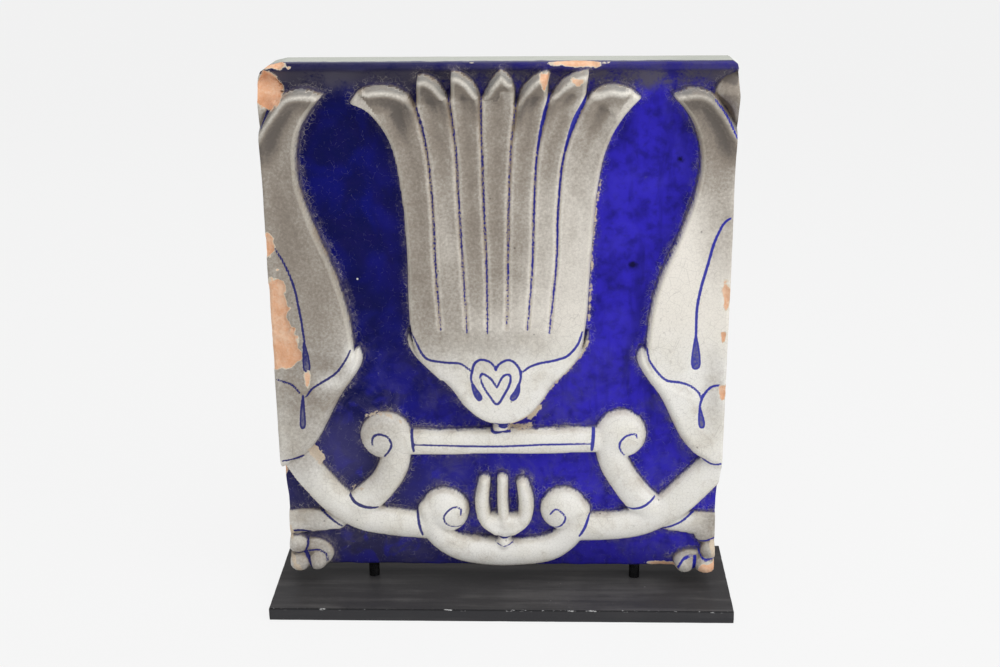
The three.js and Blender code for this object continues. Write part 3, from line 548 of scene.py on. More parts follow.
def lotus(relief):
    """The seven petals of the middle lotus. Each place takes the petal that it is deepest inside, with a V
    groove down each line between two petals, and a steep wall round the whole."""
    left_top = curve_through(drawn([PETAL_LINES[0][-1]] + LEFT_TIP_TOP), 20)
    right_top = curve_through(drawn([PETAL_LINES[-1][-1]] + RIGHT_TIP_TOP), 20)
    lines = [curve_through(drawn(line)) for line in PETAL_LINES]
    outer = [curve_through(drawn(OUTER_LEFT), 60), curve_through(drawn(OUTER_RIGHT), 60)]
    around = [outer[0], left_top[::-1]]
    petals = [(outer[0], np.vstack([lines[0], left_top]), 1)]
    for k, (tip, left_shoulder, right_shoulder, lean) in enumerate(INNER_TIPS):
        left_way = curve_through(drawn([PETAL_LINES[k][-1]] + left_shoulder + [tip]), 16)
        right_way = curve_through(drawn([PETAL_LINES[k + 1][-1]] + right_shoulder + [tip]), 16)
        around += [left_way, right_way[::-1]]
        petals.append((np.vstack([lines[k], left_way]), np.vstack([lines[k + 1], right_way]), lean))
    around += [right_top, outer[1][::-1]]
    petals.append((np.vstack([lines[-1], right_top]), outer[1], -1))
    outline = np.vstack(around)
    near = close_by(outline, relief.at, MARGIN)
    at = relief.at[near]
    faces = [petal_face(at, left, right, lean) for left, right, lean in petals]
    heights, depths, lips = (np.array(kind) for kind in zip(*faces))
    deepest = depths.argmax(0)
    height = heights[deepest, np.arange(len(at))]
    lip = lips[deepest, np.arange(len(at))]
    far, _, _ = nearest_on(outline, at)
    inside = np.where(encloses(outline, at), far, -far)
    w = at[:, 1] / TILE_HEIGHT
    rib = np.abs(inside) + 1
    for line in lines:
        gap, _, _ = nearest_on(line, at)
        rib = np.minimum(rib, gap + FAR * (1 - ease(w, 0.485, 0.51)))
        depth = (GROOVE_DEPTH + GROOVE_GAIN * ease(w, 0.5, 0.85)) * ease(w, 0.46, 0.53)
        height -= depth * (1 - ease(gap, 0, GROOVE_HALF))
    ground = relief.height[near]
    wall = (1 - (1 - np.clip(inside / LOTUS_WALL, 0, 1)) ** 2) ** 0.5
    relief.raise_by(near, inside, ground + (height - ground) * wall, rib, lip)


def side_lotus(relief, side):
    """Half of a lotus at a side of the tile: one petal, drawn for the right and mirrored for the left."""
    mirror = np.array([side, 1])
    outer = curve_through(drawn(SIDE_OUTER) * mirror, 70)
    inner = curve_through(drawn(SIDE_INNER) * mirror, 70)
    left, right = (outer, inner) if side > 0 else (inner, outer)
    outline = np.vstack([left, right[::-1]])
    near = close_by(outline, relief.at, MARGIN)
    height, inside, lip = petal_face(relief.at[near], left, right, side)
    ground = relief.height[near]
    wall = (1 - (1 - np.clip(inside / SIDE_WALL, 0, 1)) ** 2) ** 0.5
    relief.raise_by(near, inside, ground + (height - ground) * wall, inside + 3.2, lip)
    relief.cushion([(x * side, w) for x, w in SIDE_CALYX], CALYX_HEIGHT, SHOULDER)


def corner_petal(relief, side, reach):
    """The next petal of a side lotus at the tile's top corner. It climbs forward to the tile's edge as t to
    0.7, t being the way in from its outline, and falls back to its foot along its top."""
    outline = curve_through(drawn([(x * side, w) for x, w in CORNER_OUTLINE]), 60)
    near = close_by(outline, relief.at, MARGIN)
    at = relief.at[near]
    far, _, _ = nearest_on(outline, at)
    inside = np.where(encloses(outline, at), far, -far)
    t = np.clip(inside / CORNER_CLIMB, 0, 1)
    w = at[:, 1] / UP
    top = 1 - 0.6 * ease(w, 93, 98.6)
    relief.raise_by(near, inside, (CORNER_FOOT + (reach - CORNER_FOOT) * t ** 0.7) * top)


def relief_at(at):
    """The whole relief of the tile's face at the given places."""
    hand = np.column_stack([unevenness(at, 23, 3), unevenness(at, 23, 4)]) * 0.5
    relief = Relief(at + hand)
    lotus(relief)
    relief.cushion(CALYX, CALYX_HEIGHT, SHOULDER)
    for side in (-1, 1):
        side_lotus(relief, side)
    corner_petal(relief, 1, 35)
    corner_petal(relief, -1, 19)
    relief.stroke(BAR, BAR_WIDTHS, BAR_HEIGHT, BAR_ROUNDNESS)
    relief.boss(*KNOT)
    relief.stroke(LEFT_STEM, STEM_WIDTHS, SCROLL_HEIGHT)
    relief.stroke(RIGHT_STEM, STEM_WIDTHS, SCROLL_HEIGHT)
    relief.stroke(LEFT_RIBBON, RIBBON_WIDTHS, RIBBON_HEIGHT)
    relief.stroke(RIGHT_RIBBON, RIBBON_WIDTHS, RIBBON_HEIGHT)
    relief.stroke(LOWER_SCROLL, LOWER_WIDTHS, SCROLL_HEIGHT)
    for centre, radius in VOLUTES:
        relief.boss(centre, radius, radius, VOLUTE_HEIGHT)
    relief.cushion(BUD_CUP, BUD_HEIGHT - 1, SHOULDER)
    for points, widths in BUD_FINGERS:
        relief.stroke(points, widths, BUD_HEIGHT)
    relief.boss(COLLAR[0], COLLAR[1], COLLAR[1], BUD_HEIGHT)
    for points, widths in LEGS:
        relief.stroke(points, widths, LEG_HEIGHT)
    for centre, across, up, height in PAWS:
        relief.boss(centre, across, up, height)
    return relief


def brush_at(at):
    """How far inside a brush line each place is, in millimetres, less what wear has taken: half width, less
    the distance to the line, a little thinner at the ends. A line that swells has two half widths."""
    inside = np.full(len(at), OUTSIDE)
    wear = np.zeros(len(at))
    for height, half, worn, points in BRUSH_LINES:
        line = curve_through(seen(points, height))
        near = close_by(line, at, 8)
        far, share, _ = nearest_on(line, at[near])
        first, last = np.broadcast_to(half, 2)
        depth = (first + (last - first) * share) * (0.75 + 0.25 * np.sin(np.pi * share) ** 0.5) - far
        wear[near] = np.where(depth > inside[near], worn, wear[near])
        inside[near] = np.maximum(inside[near], depth)
    return inside, wear


def tan_at(at):
    """How far inside a worn tan edge each place is, in millimetres."""
    inside = np.full(len(at), OUTSIDE)
    for height, half, points in TAN_EDGES:
        line = curve_through(seen(points, height), 24)
        near = close_by(line, at, 10)
        far, _, _ = nearest_on(line, at[near])
        inside[near] = np.maximum(inside[near], half - far)
    return inside


def chips_at(at):
    """How far inside a chip each place is, and the chip's depth there. The outline of each is an ellipse
    drawn out to three corners by the cosine of three times the bearing, and pushed about by unevenness."""
    inside = np.full(len(at), OUTSIDE)
    depth = np.zeros(len(at))
    ragged = 1 + 0.28 * unevenness(at, 9, 11) + 0.16 * unevenness(at, 3.6, 12)
    for height, centre, across, up, deep, corners in CHIPS:
        middle = seen([centre], height)[0]
        near = close_by(middle[None], at, max(across, up) + 8)
        right, above = ((at[near] - middle) / (across, up)).T
        lobed = 1 - corners * np.sin(3 * np.arctan2(above, right))
        radius = np.hypot(right, above) * ragged[near] * lobed
        within = (1 - radius) * min(across, up)
        depth[near] = np.maximum(depth[near], deep * ease(within, 0, 1.4))
        inside[near] = np.maximum(inside[near], within)
    return inside, depth


def smoke_and_shade_at(at):
    """Share of grey in the white glaze, partly greyed glaze and partly painted shade: one less the product
    of each patch's clearness, which is 1 - amount / e to the square of the distance in the patch's own
    radii.
    Paler patches take their share off it in the same way."""
    clear = np.ones(len(at))
    for centre, across, up, amount in SMOKE_AND_SHADE:
        square = (((at - centre) / (across, up)) ** 2).sum(1)
        clear *= 1 - amount * np.exp(-square)
    smoke_and_shade = 1 - clear
    for centre, across, up, amount in CLEAN_AND_HIGHLIGHT:
        square = (((at - centre) / (across, up)) ** 2).sum(1)
        smoke_and_shade *= 1 - amount * np.exp(-square)
    return smoke_and_shade


def quads(numbers):
    """Faces of a sheet from its table of vertex numbers."""
    corners = [numbers[:-1, :-1], numbers[:-1, 1:], numbers[1:, 1:], numbers[1:, :-1]]
    return np.stack(corners, -1).reshape(-1, 4).tolist()


def stitched(many, few):
    """Triangles between two edges that run side by side, one with more vertices than the other. Each piece
    of the fuller edge meets the nearest vertex of the other, and so the other way round."""
    pieces = len(many) - 1
    meets = np.floor((np.arange(pieces) + 0.5) / pieces * (len(few) - 1) + 0.5).astype(int)
    meets[0], meets[-1] = 0, len(few) - 1
    turns = np.flatnonzero(np.diff(meets)) + 1
    forward = np.stack([many[:-1], many[1:], few[meets]], -1)
    across = np.stack([many[turns], few[meets[turns]], few[meets[turns - 1]]], -1)
    return forward.tolist() + across.tolist()


def mesh_object(name, millimetres, faces, values=None, sharp=None):
    """An object from vertices in millimetres, with attributes, smooth but for edges between sharp ones."""
    mesh = bpy.data.meshes.new(name)
    mesh.from_pydata((millimetres * 0.001).tolist(), [], faces)
    work = bmesh.new()
    work.from_mesh(mesh)
    bmesh.ops.recalc_face_normals(work, faces=work.faces)
    work.to_mesh(mesh)
    work.free()
    mesh.shade_smooth()
    for key, value in (values or {}).items():
        layer = mesh.attributes.new(key, "FLOAT", "POINT")
        layer.data.foreach_set("value", np.asarray(value, np.float32))
    if sharp is not None:
        ends = np.zeros(len(mesh.edges) * 2, np.int32)
        mesh.edges.foreach_get("vertices", ends)
        ends = ends.reshape(-1, 2)
        layer = mesh.attributes.new("sharp_edge", "BOOLEAN", "EDGE")
        layer.data.foreach_set("value", sharp[ends[:, 0]] & sharp[ends[:, 1]])
    piece = bpy.data.objects.new(name, mesh)
    bpy.context.scene.collection.objects.link(piece)
    return piece


def blurred(table, reach):
    """A table of heights averaged over a bell of the given reach, in rows and then in columns."""
    span = np.arange(-3 * reach, 3 * reach + 1)
    bell = np.exp(-0.5 * (span / reach) ** 2)
    bell /= bell.sum()
    for axis in (0, 1):
        margins = [(3 * reach, 3 * reach) if k == axis else (0, 0) for k in (0, 1)]
        padded = np.pad(table, margins, mode="edge")
        table = np.apply_along_axis(np.convolve, axis, padded, bell, mode="valid")
    return table


def tile_face():
    """Places of the face's grid, drawn in to the outlines of the relief: a vertex less than half a cell from
    an outline moves onto it along the slope of its distance."""
    top = np.interp(np.linspace(-50, 50, COLUMNS), TOP_PLACES, TOP_HEIGHTS) * UP
    share = np.linspace(0, 1, ROWS)[:, None]
    w = share * top[None, :]
    half = np.interp(w, np.array(SIDE_LEVELS) * UP, np.array(SIDE_HALVES) * ACROSS)
    x = half * np.linspace(-1, 1, COLUMNS)[None, :]
    wander = unevenness(np.column_stack([w.ravel(), x.ravel()]), 17, 21).reshape(x.shape)
    x = x + 0.35 * wander * (np.abs(x) > 190)
    x = np.clip(x, -TILE_WIDTH / 2, TILE_WIDTH / 2)
    at = np.column_stack([x.ravel(), w.ravel()])
    edge = relief_at(at).edge.reshape(ROWS, COLUMNS)
    cell = TILE_WIDTH / COLUMNS
    slope_w, slope_x = np.gradient(edge)
    slope_x /= np.gradient(x, axis=1)
    slope_w /= np.gradient(w, axis=0)
    steep = slope_x ** 2 + slope_w ** 2
    move = np.where((np.abs(edge) < 0.5 * cell) & (steep > 0.3), edge / np.maximum(steep, 0.3), 0)
    move[[0, -1]] = 0
    move[:, [0, -1]] = 0
    at[:, 0] -= (move * slope_x).ravel()
    at[:, 1] -= (move * slope_w).ravel()
    return at


def tile_body():
    """The tile as one closed skin: the carved face, the top, the back and the underside as one sheet round
    it, and two sides, each a sheet that is stitched to the back's edge."""
    at = tile_face()
    relief = relief_at(at)
    chip, chip_depth = chips_at(at)
    brush, wear = brush_at(at)
    height = relief.height + SAG * unevenness(at, 38, 31) + RIPPLE * unevenness(at, 9, 32)
    height -= LINE_DEPTH * ease(brush, -0.6, 0.8)
    height -= chip_depth * (1 + 0.25 * unevenness(at, 5, 33))
    rim = np.minimum(TILE_WIDTH / 2 - np.abs(at[:, 0]), np.minimum(at[:, 1], TILE_HEIGHT - at[:, 1]))
    inward = np.clip(1 - rim / EDGE_RADIUS, 0, 1)
    height -= EDGE_RADIUS * (1 - np.sqrt(1 - inward ** 2)) * (0.8 + 0.5 * unevenness(at, 12, 34))
    table = height.reshape(ROWS, COLUMNS)
    hollow = (blurred(table, 4) - table).ravel()
    fine_hollow = (blurred(table, 1) - table).ravel()
    front = np.column_stack([at[:, 0], GROUND_Y - height, TILE_BOTTOM + at[:, 1]]).reshape(ROWS, COLUMNS, 3)

    depth = np.linspace(0, 1, DEPTH_ROWS)[:, None, None]
    back_x = np.linspace(-1, 1, COLUMNS) * (TILE_WIDTH / 2 - 1.2)

    def back_edge(row, w):
        edge = row.copy()
        edge[:, 0] = back_x * np.where(w < TILE_HEIGHT / 2, 0.986, 1)
        edge[:, 1] = BACK_Y - 0.4 + 0.3 * unevenness(np.column_stack([row[:, 0], row[:, 0] * 0 + w]), 26, 41)
        return edge

    top_back = back_edge(front[-1], TILE_HEIGHT)
    foot_back = back_edge(front[0], 0)
    top_back[:, 2] = front[-1][:, 2] - 0.6
    foot_back[:, 2] += 0.5
    top = front[-1] * (1 - depth) + top_back * depth
    foot = foot_back * (1 - depth) + front[0] * depth
    down = np.linspace(0, 1, BACK_ROWS)[:, None, None]
    back = top_back * (1 - down) + foot_back * down
    on_back = np.column_stack([back[..., 0].ravel(), back[..., 2].ravel()])
    wave = unevenness(on_back, 45, 42).reshape(back.shape[:2])
    back[1:-1, :, 1] = BACK_Y - 0.5 + 0.45 * wave[1:-1]

    sheets = [front, top[1:], back[1:], foot[1:-1]]
    numbers, start = [], 0
    for sheet in sheets:
        count = sheet.shape[0] * COLUMNS
        numbers.append(np.arange(start, start + count).reshape(-1, COLUMNS))
        start += count
    faces = quads(np.vstack(numbers + [numbers[0][:1]]))
    points = [sheet.reshape(-1, 3) for sheet in sheets]
    top_numbers = np.vstack([numbers[0][-1:], numbers[1]])
    back_numbers = np.vstack([numbers[1][-1:], numbers[2]])
    foot_numbers = np.vstack([numbers[2][-1:], numbers[3], numbers[0][:1]])
    for column in (0, COLUMNS - 1):
        shares = np.linspace(0, 1, DEPTH_ROWS)[1:-1]
        edge = front[1:-1, column]
        level = edge[:, 2]
        behind = np.column_stack([
            np.interp(level, back[::-1, column, 2], back[::-1, column, 0]),
            np.interp(level, back[::-1, column, 2], back[::-1, column, 1]),
            level,
        ])
        side = edge[:, None] * (1 - shares[None, :, None]) + behind[:, None] * shares[None, :, None]
        on_side = np.column_stack([side[..., 1].ravel(), side[..., 2].ravel()])
        side[..., 0] += 0.25 * unevenness(on_side, 14, 51).reshape(side.shape[:2])
        side[..., 0] = np.clip(side[..., 0], -TILE_WIDTH / 2, TILE_WIDTH / 2)
        ids = np.arange(start, start + side.shape[0] * side.shape[1]).reshape(side.shape[:2])
        start += ids.size
        points.append(side.reshape(-1, 3))
        whole = np.hstack([numbers[0][1:-1, column][:, None], ids])
        bottom_row = foot_numbers[::-1, column][:DEPTH_ROWS - 1]
        top_row = top_numbers[:DEPTH_ROWS - 1, column]
        whole = np.vstack([bottom_row, whole, top_row])
        faces += quads(whole)
        faces += stitched(whole[:, -1], back_numbers[::-1, column])
    points = np.vstack(points)
    everywhere = points[:, [0, 2]] - (0, TILE_BOTTOM)
    front_count = ROWS * COLUMNS
    others = everywhere[front_count:]
    beyond = relief_at(others)
    set_back = points[front_count:, 1] - GROUND_Y + beyond.height
    others_chip = chips_at(others)[0] - CHIP_SHALLOWING * np.clip(set_back, 0, None)
    sizes = len(points)
    values = {}
    for key, on_face, beside in (
        ("relief_edge", relief.edge, beyond.edge), ("brush", brush, OUTSIDE), ("wear", wear, 0.0),
        ("chip", chip, others_chip), ("smoke_and_shade", smoke_and_shade_at(at), smoke_and_shade_at(others)), ("rib", relief.rib, FAR),
        ("lip", relief.lip, FAR), ("hollow", hollow, 0.0), ("fine_hollow", fine_hollow, 0.0),
        ("tan", tan_at(at), OUTSIDE), ("face", 1.0, 0.0),
    ):
        values[key] = np.zeros(sizes)
        values[key][:front_count] = on_face
        values[key][front_count:] = beside
    sharp = np.zeros(sizes, bool)
    for row in (numbers[0][0], numbers[0][-1], numbers[1][-1], numbers[2][-1]):
        sharp[row] = True
    for column in (0, COLUMNS - 1):
        sharp[numbers[0][:, column]] = True
        sharp[back_numbers[:, column]] = True
        sharp[top_numbers[:, column]] = True
        sharp[foot_numbers[:, column]] = True
    return mesh_object("frieze_tile", points, faces, values, sharp)


def ring_loft(rings):
    """Vertices and faces of a closed skin over rings of equally many points, with a flat cap at each end."""
    rings = np.asarray(rings)
    layers, count = rings.shape[:2]
    numbers = np.arange(layers * count).reshape(layers, count)
    faces = quads(np.hstack([numbers, numbers[:, :1]]))
    faces += [numbers[0][::-1].tolist(), numbers[-1].tolist()]
    return rings.reshape(-1, 3), faces


def board_body(arris):
    """The board: a rectangle carried through a profile whose top and bottom arrises are quarter circles,
    with small dents where the paint is knocked."""
    low, high = BOARD_LOW, BOARD_HIGH
    middle = (low[:2] + high[:2]) / 2
    half = (high[:2] - low[:2]) / 2
    thick = high[2] - low[2]
    turn = np.linspace(0, 2 * np.pi, 480, endpoint=False)
    square = np.column_stack([np.cos(turn), np.sin(turn)])
    square /= np.abs(square).max(1)[:, None]
    path = square * half
    quarter = np.radians([0, 22, 45, 68, 90])
    profile = [(-14, 0), (-4, 0)]
    profile += [(-arris * (1 - math.sin(a)), arris * (1 - math.cos(a))) for a in quarter]
    profile += [(0, thick * share) for share in (0.3, 0.5, 0.7)]
    profile += [(-arris * (1 - math.cos(a)), thick - arris * (1 - math.sin(a))) for a in quarter]
    profile += [(-4, thick), (-14, thick)]
    rings = []
    for inset, level in profile:
        dent = 0.22 * np.clip(unevenness(path + (0, level * 3), 6, 61), 0, 1) * (abs(inset) < 2)
        ring = path * (half + inset - dent[:, None]) / half
        rings.append(np.column_stack([ring + middle, np.full(len(path), low[2] + level)]))
    points, faces = ring_loft(rings)
    return mesh_object("stand_board", points, faces)


def rod_body(name, node):
    """A round rod: a circle carried through a profile with eased ends."""
    low, high = (np.array(corner) * 1000 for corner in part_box(node))
    middle = (low + high) / 2
    radius = (high[0] - low[0]) / 2
    ease_by = 0.5
    profile = [(radius - 2, low[2]), (radius - ease_by, low[2]), (radius, low[2] + ease_by)]
    profile += [(radius, level) for level in np.linspace(low[2] + 2, high[2] - 2, 24)]
    profile += [(radius, high[2] - ease_by), (radius - ease_by, high[2]), (radius - 2, high[2])]
    turn = np.linspace(0, 2 * np.pi, 40, endpoint=False)
    circle = np.column_stack([np.cos(turn), np.sin(turn)])
    rings = [np.column_stack([circle * r + middle[:2], np.full(len(turn), level)]) for r, level in profile]
    points, faces = ring_loft(rings)
    return mesh_object(name, points, faces)


class Signal:
    """One socket of a finish. Sums of numbers are written with Python's own signs."""

    def __init__(self, finish, socket):
        self.finish = finish
        self.socket = socket

    def sum(self, operation, first, second):
        return self.finish.node("ShaderNodeMath", {0: first, 1: second}, operation=operation)

    def __add__(self, other):
        return self.sum("ADD", self, other)

    def __radd__(self, other):
        return self.sum("ADD", other, self)

    def __sub__(self, other):
        return self.sum("SUBTRACT", self, other)

    def __rsub__(self, other):
        return self.sum("SUBTRACT", other, self)

    def __mul__(self, other):
        return self.sum("MULTIPLY", self, other)

    def __rmul__(self, other):
        return self.sum("MULTIPLY", other, self)

    def __pow__(self, other):
        return self.sum("POWER", self, other)

    def most(self, other):
        return self.sum("MAXIMUM", self, other)


class Finish:
    """A material being made. Every node comes from node()."""

    def __init__(self, name):
        self.material = bpy.data.materials.new(name)
        self.material.use_nodes = True
        self.tree = self.material.node_tree
        self.tree.nodes.clear()

    def node(self, kind, sockets=None, out=0, **settings):
        """Adds a node: first its settings, then the values or links of its sockets."""
        made = self.tree.nodes.new(kind)
        for key, value in settings.items():
            setattr(made, key, value)
        for key, value in (sockets or {}).items():
            if isinstance(value, Signal):
                self.tree.links.new(value.socket, made.inputs[key])
            else:
                made.inputs[key].default_value = value
        return Signal(self, made.outputs[out]) if len(made.outputs) else made

    def place(self):
        return self.node("ShaderNodeTexCoord", out=3)

    def axes(self, place):
        """The three numbers of a place."""
        split = self.node("ShaderNodeSeparateXYZ", {0: place})
        return [Signal(self, socket) for socket in split.socket.node.outputs]

    def layer(self, name):
        """A vertex attribute as a number."""
        return self.node("ShaderNodeAttribute", attribute_name=name, out=2)

    def noise(self, place, scale, detail=3.0, rough=0.5, bend=0.0):
        """Fractal noise, from 0 to 1."""
        sockets = {"Vector": place, "Scale": scale, "Detail": detail, "Roughness": rough, "Distortion": bend}
        return self.node("ShaderNodeTexNoise", sockets)

    def drawn_out(self, place, scales, *shape):
        """Fractal noise with a scale of its own along each axis."""
        return self.noise(self.node("ShaderNodeMapping", {"Vector": place, "Scale": scales}), 1.0, *shape)

    def cracks(self, place, scale, random=1.0):
        """Distance to the nearest edge between random cells."""
        return self.node("ShaderNodeTexVoronoi", {"Vector": place, "Scale": scale, "Randomness": random},
                         feature="DISTANCE_TO_EDGE")

    def dots(self, place, scale):
        """Distance to the nearest of randomly scattered points."""
        return self.node("ShaderNodeTexVoronoi", {"Vector": place, "Scale": scale}, feature="F1")

    def step(self, value, low, high):
        """0 below low and 1 above high, with a smooth step between; low may be the greater."""
        return self.node("ShaderNodeMapRange", {"Value": value, "From Min": low, "From Max": high},
                         interpolation_type="SMOOTHSTEP")

    def mix(self, share, first, second):
        """A colour between two others."""
        sockets = {0: share, 6: colour(first), 7: colour(second)}
        return self.node("ShaderNodeMix", sockets, out=2, data_type="RGBA")

    def bump(self, height, strength, distance):
        return self.node("ShaderNodeBump", {"Height": height, "Strength": strength, "Distance": distance})

    def surface(self, **sockets):
        """The Principled shader and the output. Underscores in a socket's name stand for spaces."""
        values = {key.replace("_", " "): value for key, value in sockets.items()}
        shader = self.node("ShaderNodeBsdfPrincipled", values)
        self.node("ShaderNodeOutputMaterial", {0: shader})
        return self.material


def colour(value):
    """A colour of three numbers with its fourth added; a signal as it is."""
    return value if isinstance(value, Signal) or len(value) == 4 else (*value, 1)


class Tone:
    """Colours laid over the glazes, the clay and the black paint, as shares of linear light. Some of them
    are painted shade, painted highlights and a painted reflection.
    """
    lit_navy = (0.003, 0.005, 0.24)
    lit_ultramarine = (0.060, 0.045, 0.62)
    left_grey_haze = (0.110, 0.100, 0.215)
    low_grey_haze = (0.075, 0.068, 0.125)
    bright_low = (0.024, 0.020, 0.42)
    foot = (0.012, 0.011, 0.050)
    by_scroll = (0.070, 0.064, 0.20)
    spot = (0.003, 0.002, 0.03)
    white_dot = (0.80, 0.80, 0.78)
    hairline = (0.24, 0.23, 0.33)
    top_shade_navy = (0.010, 0.010, 0.060)
    top_shade_blue = (0.026, 0.022, 0.14)
    cove_reflection = (0.125, 0.115, 0.130)
    veil = (0.24, 0.21, 0.23)
    thread = (0.58, 0.54, 0.50)
    warm_cream = (0.86, 0.83, 0.75)
    upper_cream = (0.90, 0.855, 0.775)
    soot_and_shade = (0.120, 0.105, 0.095)
    arris_highlight = (0.80, 0.76, 0.66)
    rim = (0.235, 0.232, 0.220)
    crest_highlight = (0.44, 0.42, 0.37)
    rim_edge_highlight = (0.50, 0.49, 0.45)
    brown = (0.38, 0.28, 0.19)
    smudge = (0.46, 0.385, 0.30)
    craze = (0.17, 0.14, 0.12)
    pit = (0.07, 0.055, 0.05)
    outline = (0.035, 0.03, 0.10)
    ink_left = (0.012, 0.014, 0.15)
    ink_right = (0.008, 0.014, 0.36)
    thin_ink = (0.22, 0.21, 0.27)
    tan = (0.52, 0.40, 0.28)
    pale_tan = (0.86, 0.76, 0.62)
    pale_clay = (0.88, 0.60, 0.42)
    grit = (0.86, 0.72, 0.56)
    chip_rim = (0.74, 0.66, 0.53)
    top_front = (0.035, 0.030, 0.16)
    top_back = (0.62, 0.64, 0.57)
    slip = (0.55, 0.37, 0.25)
    pale_slip = (0.66, 0.55, 0.42)
    slip_stain = (0.30, 0.22, 0.16)
    board_dust = (0.35, 0.34, 0.33)
    board_flank_shade = (0.026, 0.026, 0.030)
    board_arris_shade = (0.006, 0.006, 0.008)
    board_nick = (0.62, 0.62, 0.62)
    rod_rubbed = (0.035, 0.034, 0.035)


def glazed_clay(look):
    """Cobalt and warm white tin glaze over pale red clay. White lies where the relief stands up, cobalt on
    the ground and in the brush lines, bare clay in chips and behind; greyed glaze, crazing and veils along
    the outlines are layered over them, with painted shade (hollows, creases, under the lips, the less lit
    left), painted highlights and a painted reflection."""
    f = Finish("glazed_clay")
    place = f.place()
    x, y, z = f.axes(place)
    edge, brush, wear, chip, smoke_and_shade = map(f.layer, ("relief_edge", "brush", "wear", "chip", "smoke_and_shade"))
    hollow, fine_hollow, tan, face = map(f.layer, ("hollow", "fine_hollow", "tan", "face"))
    rib, lip_gap = map(f.layer, ("rib", "lip"))
    cloud = f.noise(place, 22.0, 4.0, 0.6)
    patch = f.noise(place, 60.0, 4.0, 0.62)
    grain = f.noise(place, 420.0, 3.0, 0.65)
    speck = f.noise(place, 900.0, 2.0, 0.6)
    wisp = f.noise(place, 240.0, 5.0, 0.75, 0.6)

    # Cobalt: navy on the left, brighter to the right, partly a deeper glaze on the left and partly painted
    # shade for the weaker light there; clouded, with darker pools
    rightward = f.step(x + cloud * 0.12 - 0.06, -0.13, 0.10)
    cobalt = f.mix(rightward, look.navy, look.ultramarine)
    cobalt = f.mix(f.step(patch, 0.40, 0.74) * (0.62 - rightward * 0.14), cobalt, look.deep_blue)
    drips = f.drawn_out(place, (70.0, 70.0, 15.0), 4.0, 0.55, 0.4)
    cobalt = f.mix(f.step(drips, 0.50, 0.76) * (0.20 + rightward * 0.42), cobalt, look.deep_blue)
    fleck = f.noise(place, 120.0, 4.0, 0.6, 0.3)
    cobalt = f.mix(f.step(fleck, 0.46, 0.70) * (0.10 + rightward * 0.26), cobalt, look.deep_blue)
    lit = f.step(f.noise(place, 26.0, 3.0, 0.5, 0.5), 0.46, 0.70)
    lit_blue = f.mix(rightward, Tone.lit_navy, Tone.lit_ultramarine)
    cobalt = f.mix(lit * (0.50 - rightward * 0.10), cobalt, lit_blue)
    # A grey haze over the cobalt towards the bottom, strongest at the bottom left
    low = f.step(z, 0.30, 0.12)
    haze = f.step(f.noise(place, 30.0, 6.0, 0.72, 0.8), 0.42, 0.68)
    left_low = f.step(z, 0.19, 0.05) * f.step(x, 0.02, -0.12)
    low_grey_haze = (haze * (0.02 + low * 0.46) * (1.05 - rightward * 0.25)).most(left_low * (0.42 + haze * 0.5))
    cobalt = f.mix(low_grey_haze, cobalt, f.mix(left_low, Tone.left_grey_haze, Tone.low_grey_haze))
    bright = f.step(f.noise(place, 40.0, 3.0, 0.55, 0.9), 0.50, 0.66) * low * f.step(x, -0.19, -0.12)
    cobalt = f.mix(bright * (0.60 - rightward * 0.20), cobalt, Tone.bright_low)
    foot_dark = f.step(z + (patch - 0.5) * 0.03, 0.062, 0.032)
    cobalt = f.mix(foot_dark * 0.45, cobalt, Tone.foot)
    away = ((x - PALE_PATCH[0]) ** 2 + (z - PALE_PATCH[1]) ** 2) ** 0.5 + (patch - 0.5) * 0.03
    beside_scroll = f.step(away, 0.045, 0.010)
    cobalt = f.mix(beside_scroll * 0.55, cobalt, Tone.by_scroll)
    for across, up, reach in DARK_SPOTS:
        away = ((x - across) ** 2 + (z - up) ** 2) ** 0.5 + (fleck - 0.5) * 0.012 + (grain - 0.5) * 0.004
        cobalt = f.mix(f.step(away, reach, 0.0) * 0.95, cobalt, Tone.spot)
    away = ((x - WHITE_DOT[0]) ** 2 + (z - WHITE_DOT[1]) ** 2) ** 0.5
    cobalt = f.mix(f.step(away, 0.0011, 0.0006), cobalt, Tone.white_dot)
    hairs = f.step(f.cracks(place, 170.0), 0.020, 0.0) * f.step(wisp, 0.52, 0.60)
    cobalt = f.mix(hairs * (0.30 + low * 0.25 - rightward * 0.20), cobalt, Tone.hairline)
    # Darker cobalt on the band under the top lip: partly deeper glaze, partly painted shade under the
    # overhang
    top = f.step(z, 0.476, 0.4945)
    cobalt = f.mix(top * 0.85, cobalt, f.mix(rightward, Tone.top_shade_navy, Tone.top_shade_blue))
    # Painted reflection: paler grey-blue in patches on the cove below that band, where the glaze faces down
    # to the pale floor
    cove_reflection_band = f.step(z + (patch - 0.5) * 0.02, 0.470, 0.488) * (1 - f.step(z, 0.493, 0.4975) * 0.7)
    cove_reflection_patches = f.step(cloud + (grain - 0.5) * 0.5 + (patch - 0.5) * 0.6, 0.30, 0.58)
    cobalt = f.mix(cove_reflection_band * cove_reflection_patches * (0.58 + rightward * 0.22), cobalt, Tone.cove_reflection)

    # Veil of pale crackle on the ground beside each outline
    beside = f.step(edge, -7.5, -0.6)
    near = f.step(edge, -2.6, -0.2)
    scratches = f.cracks(place, 260.0)
    veil = near * f.step(wisp + patch * 0.40, 0.52, 0.90) * 0.70
    veil = veil.most(beside * f.step(wisp + haze * 0.3, 0.45, 0.95) * 0.40)
    cobalt = f.mix(veil, cobalt, Tone.veil)
    wide = f.step(edge, -8.5, -1.0) * f.step(cloud + (patch - 0.5) * 0.8, 0.36, 0.60)
    threads = f.step(scratches, 0.042, 0.004) * f.step(wisp, 0.42, 0.54) * wide
    cobalt = f.mix(threads * (0.75 - rightward * 0.25), cobalt, Tone.thread)
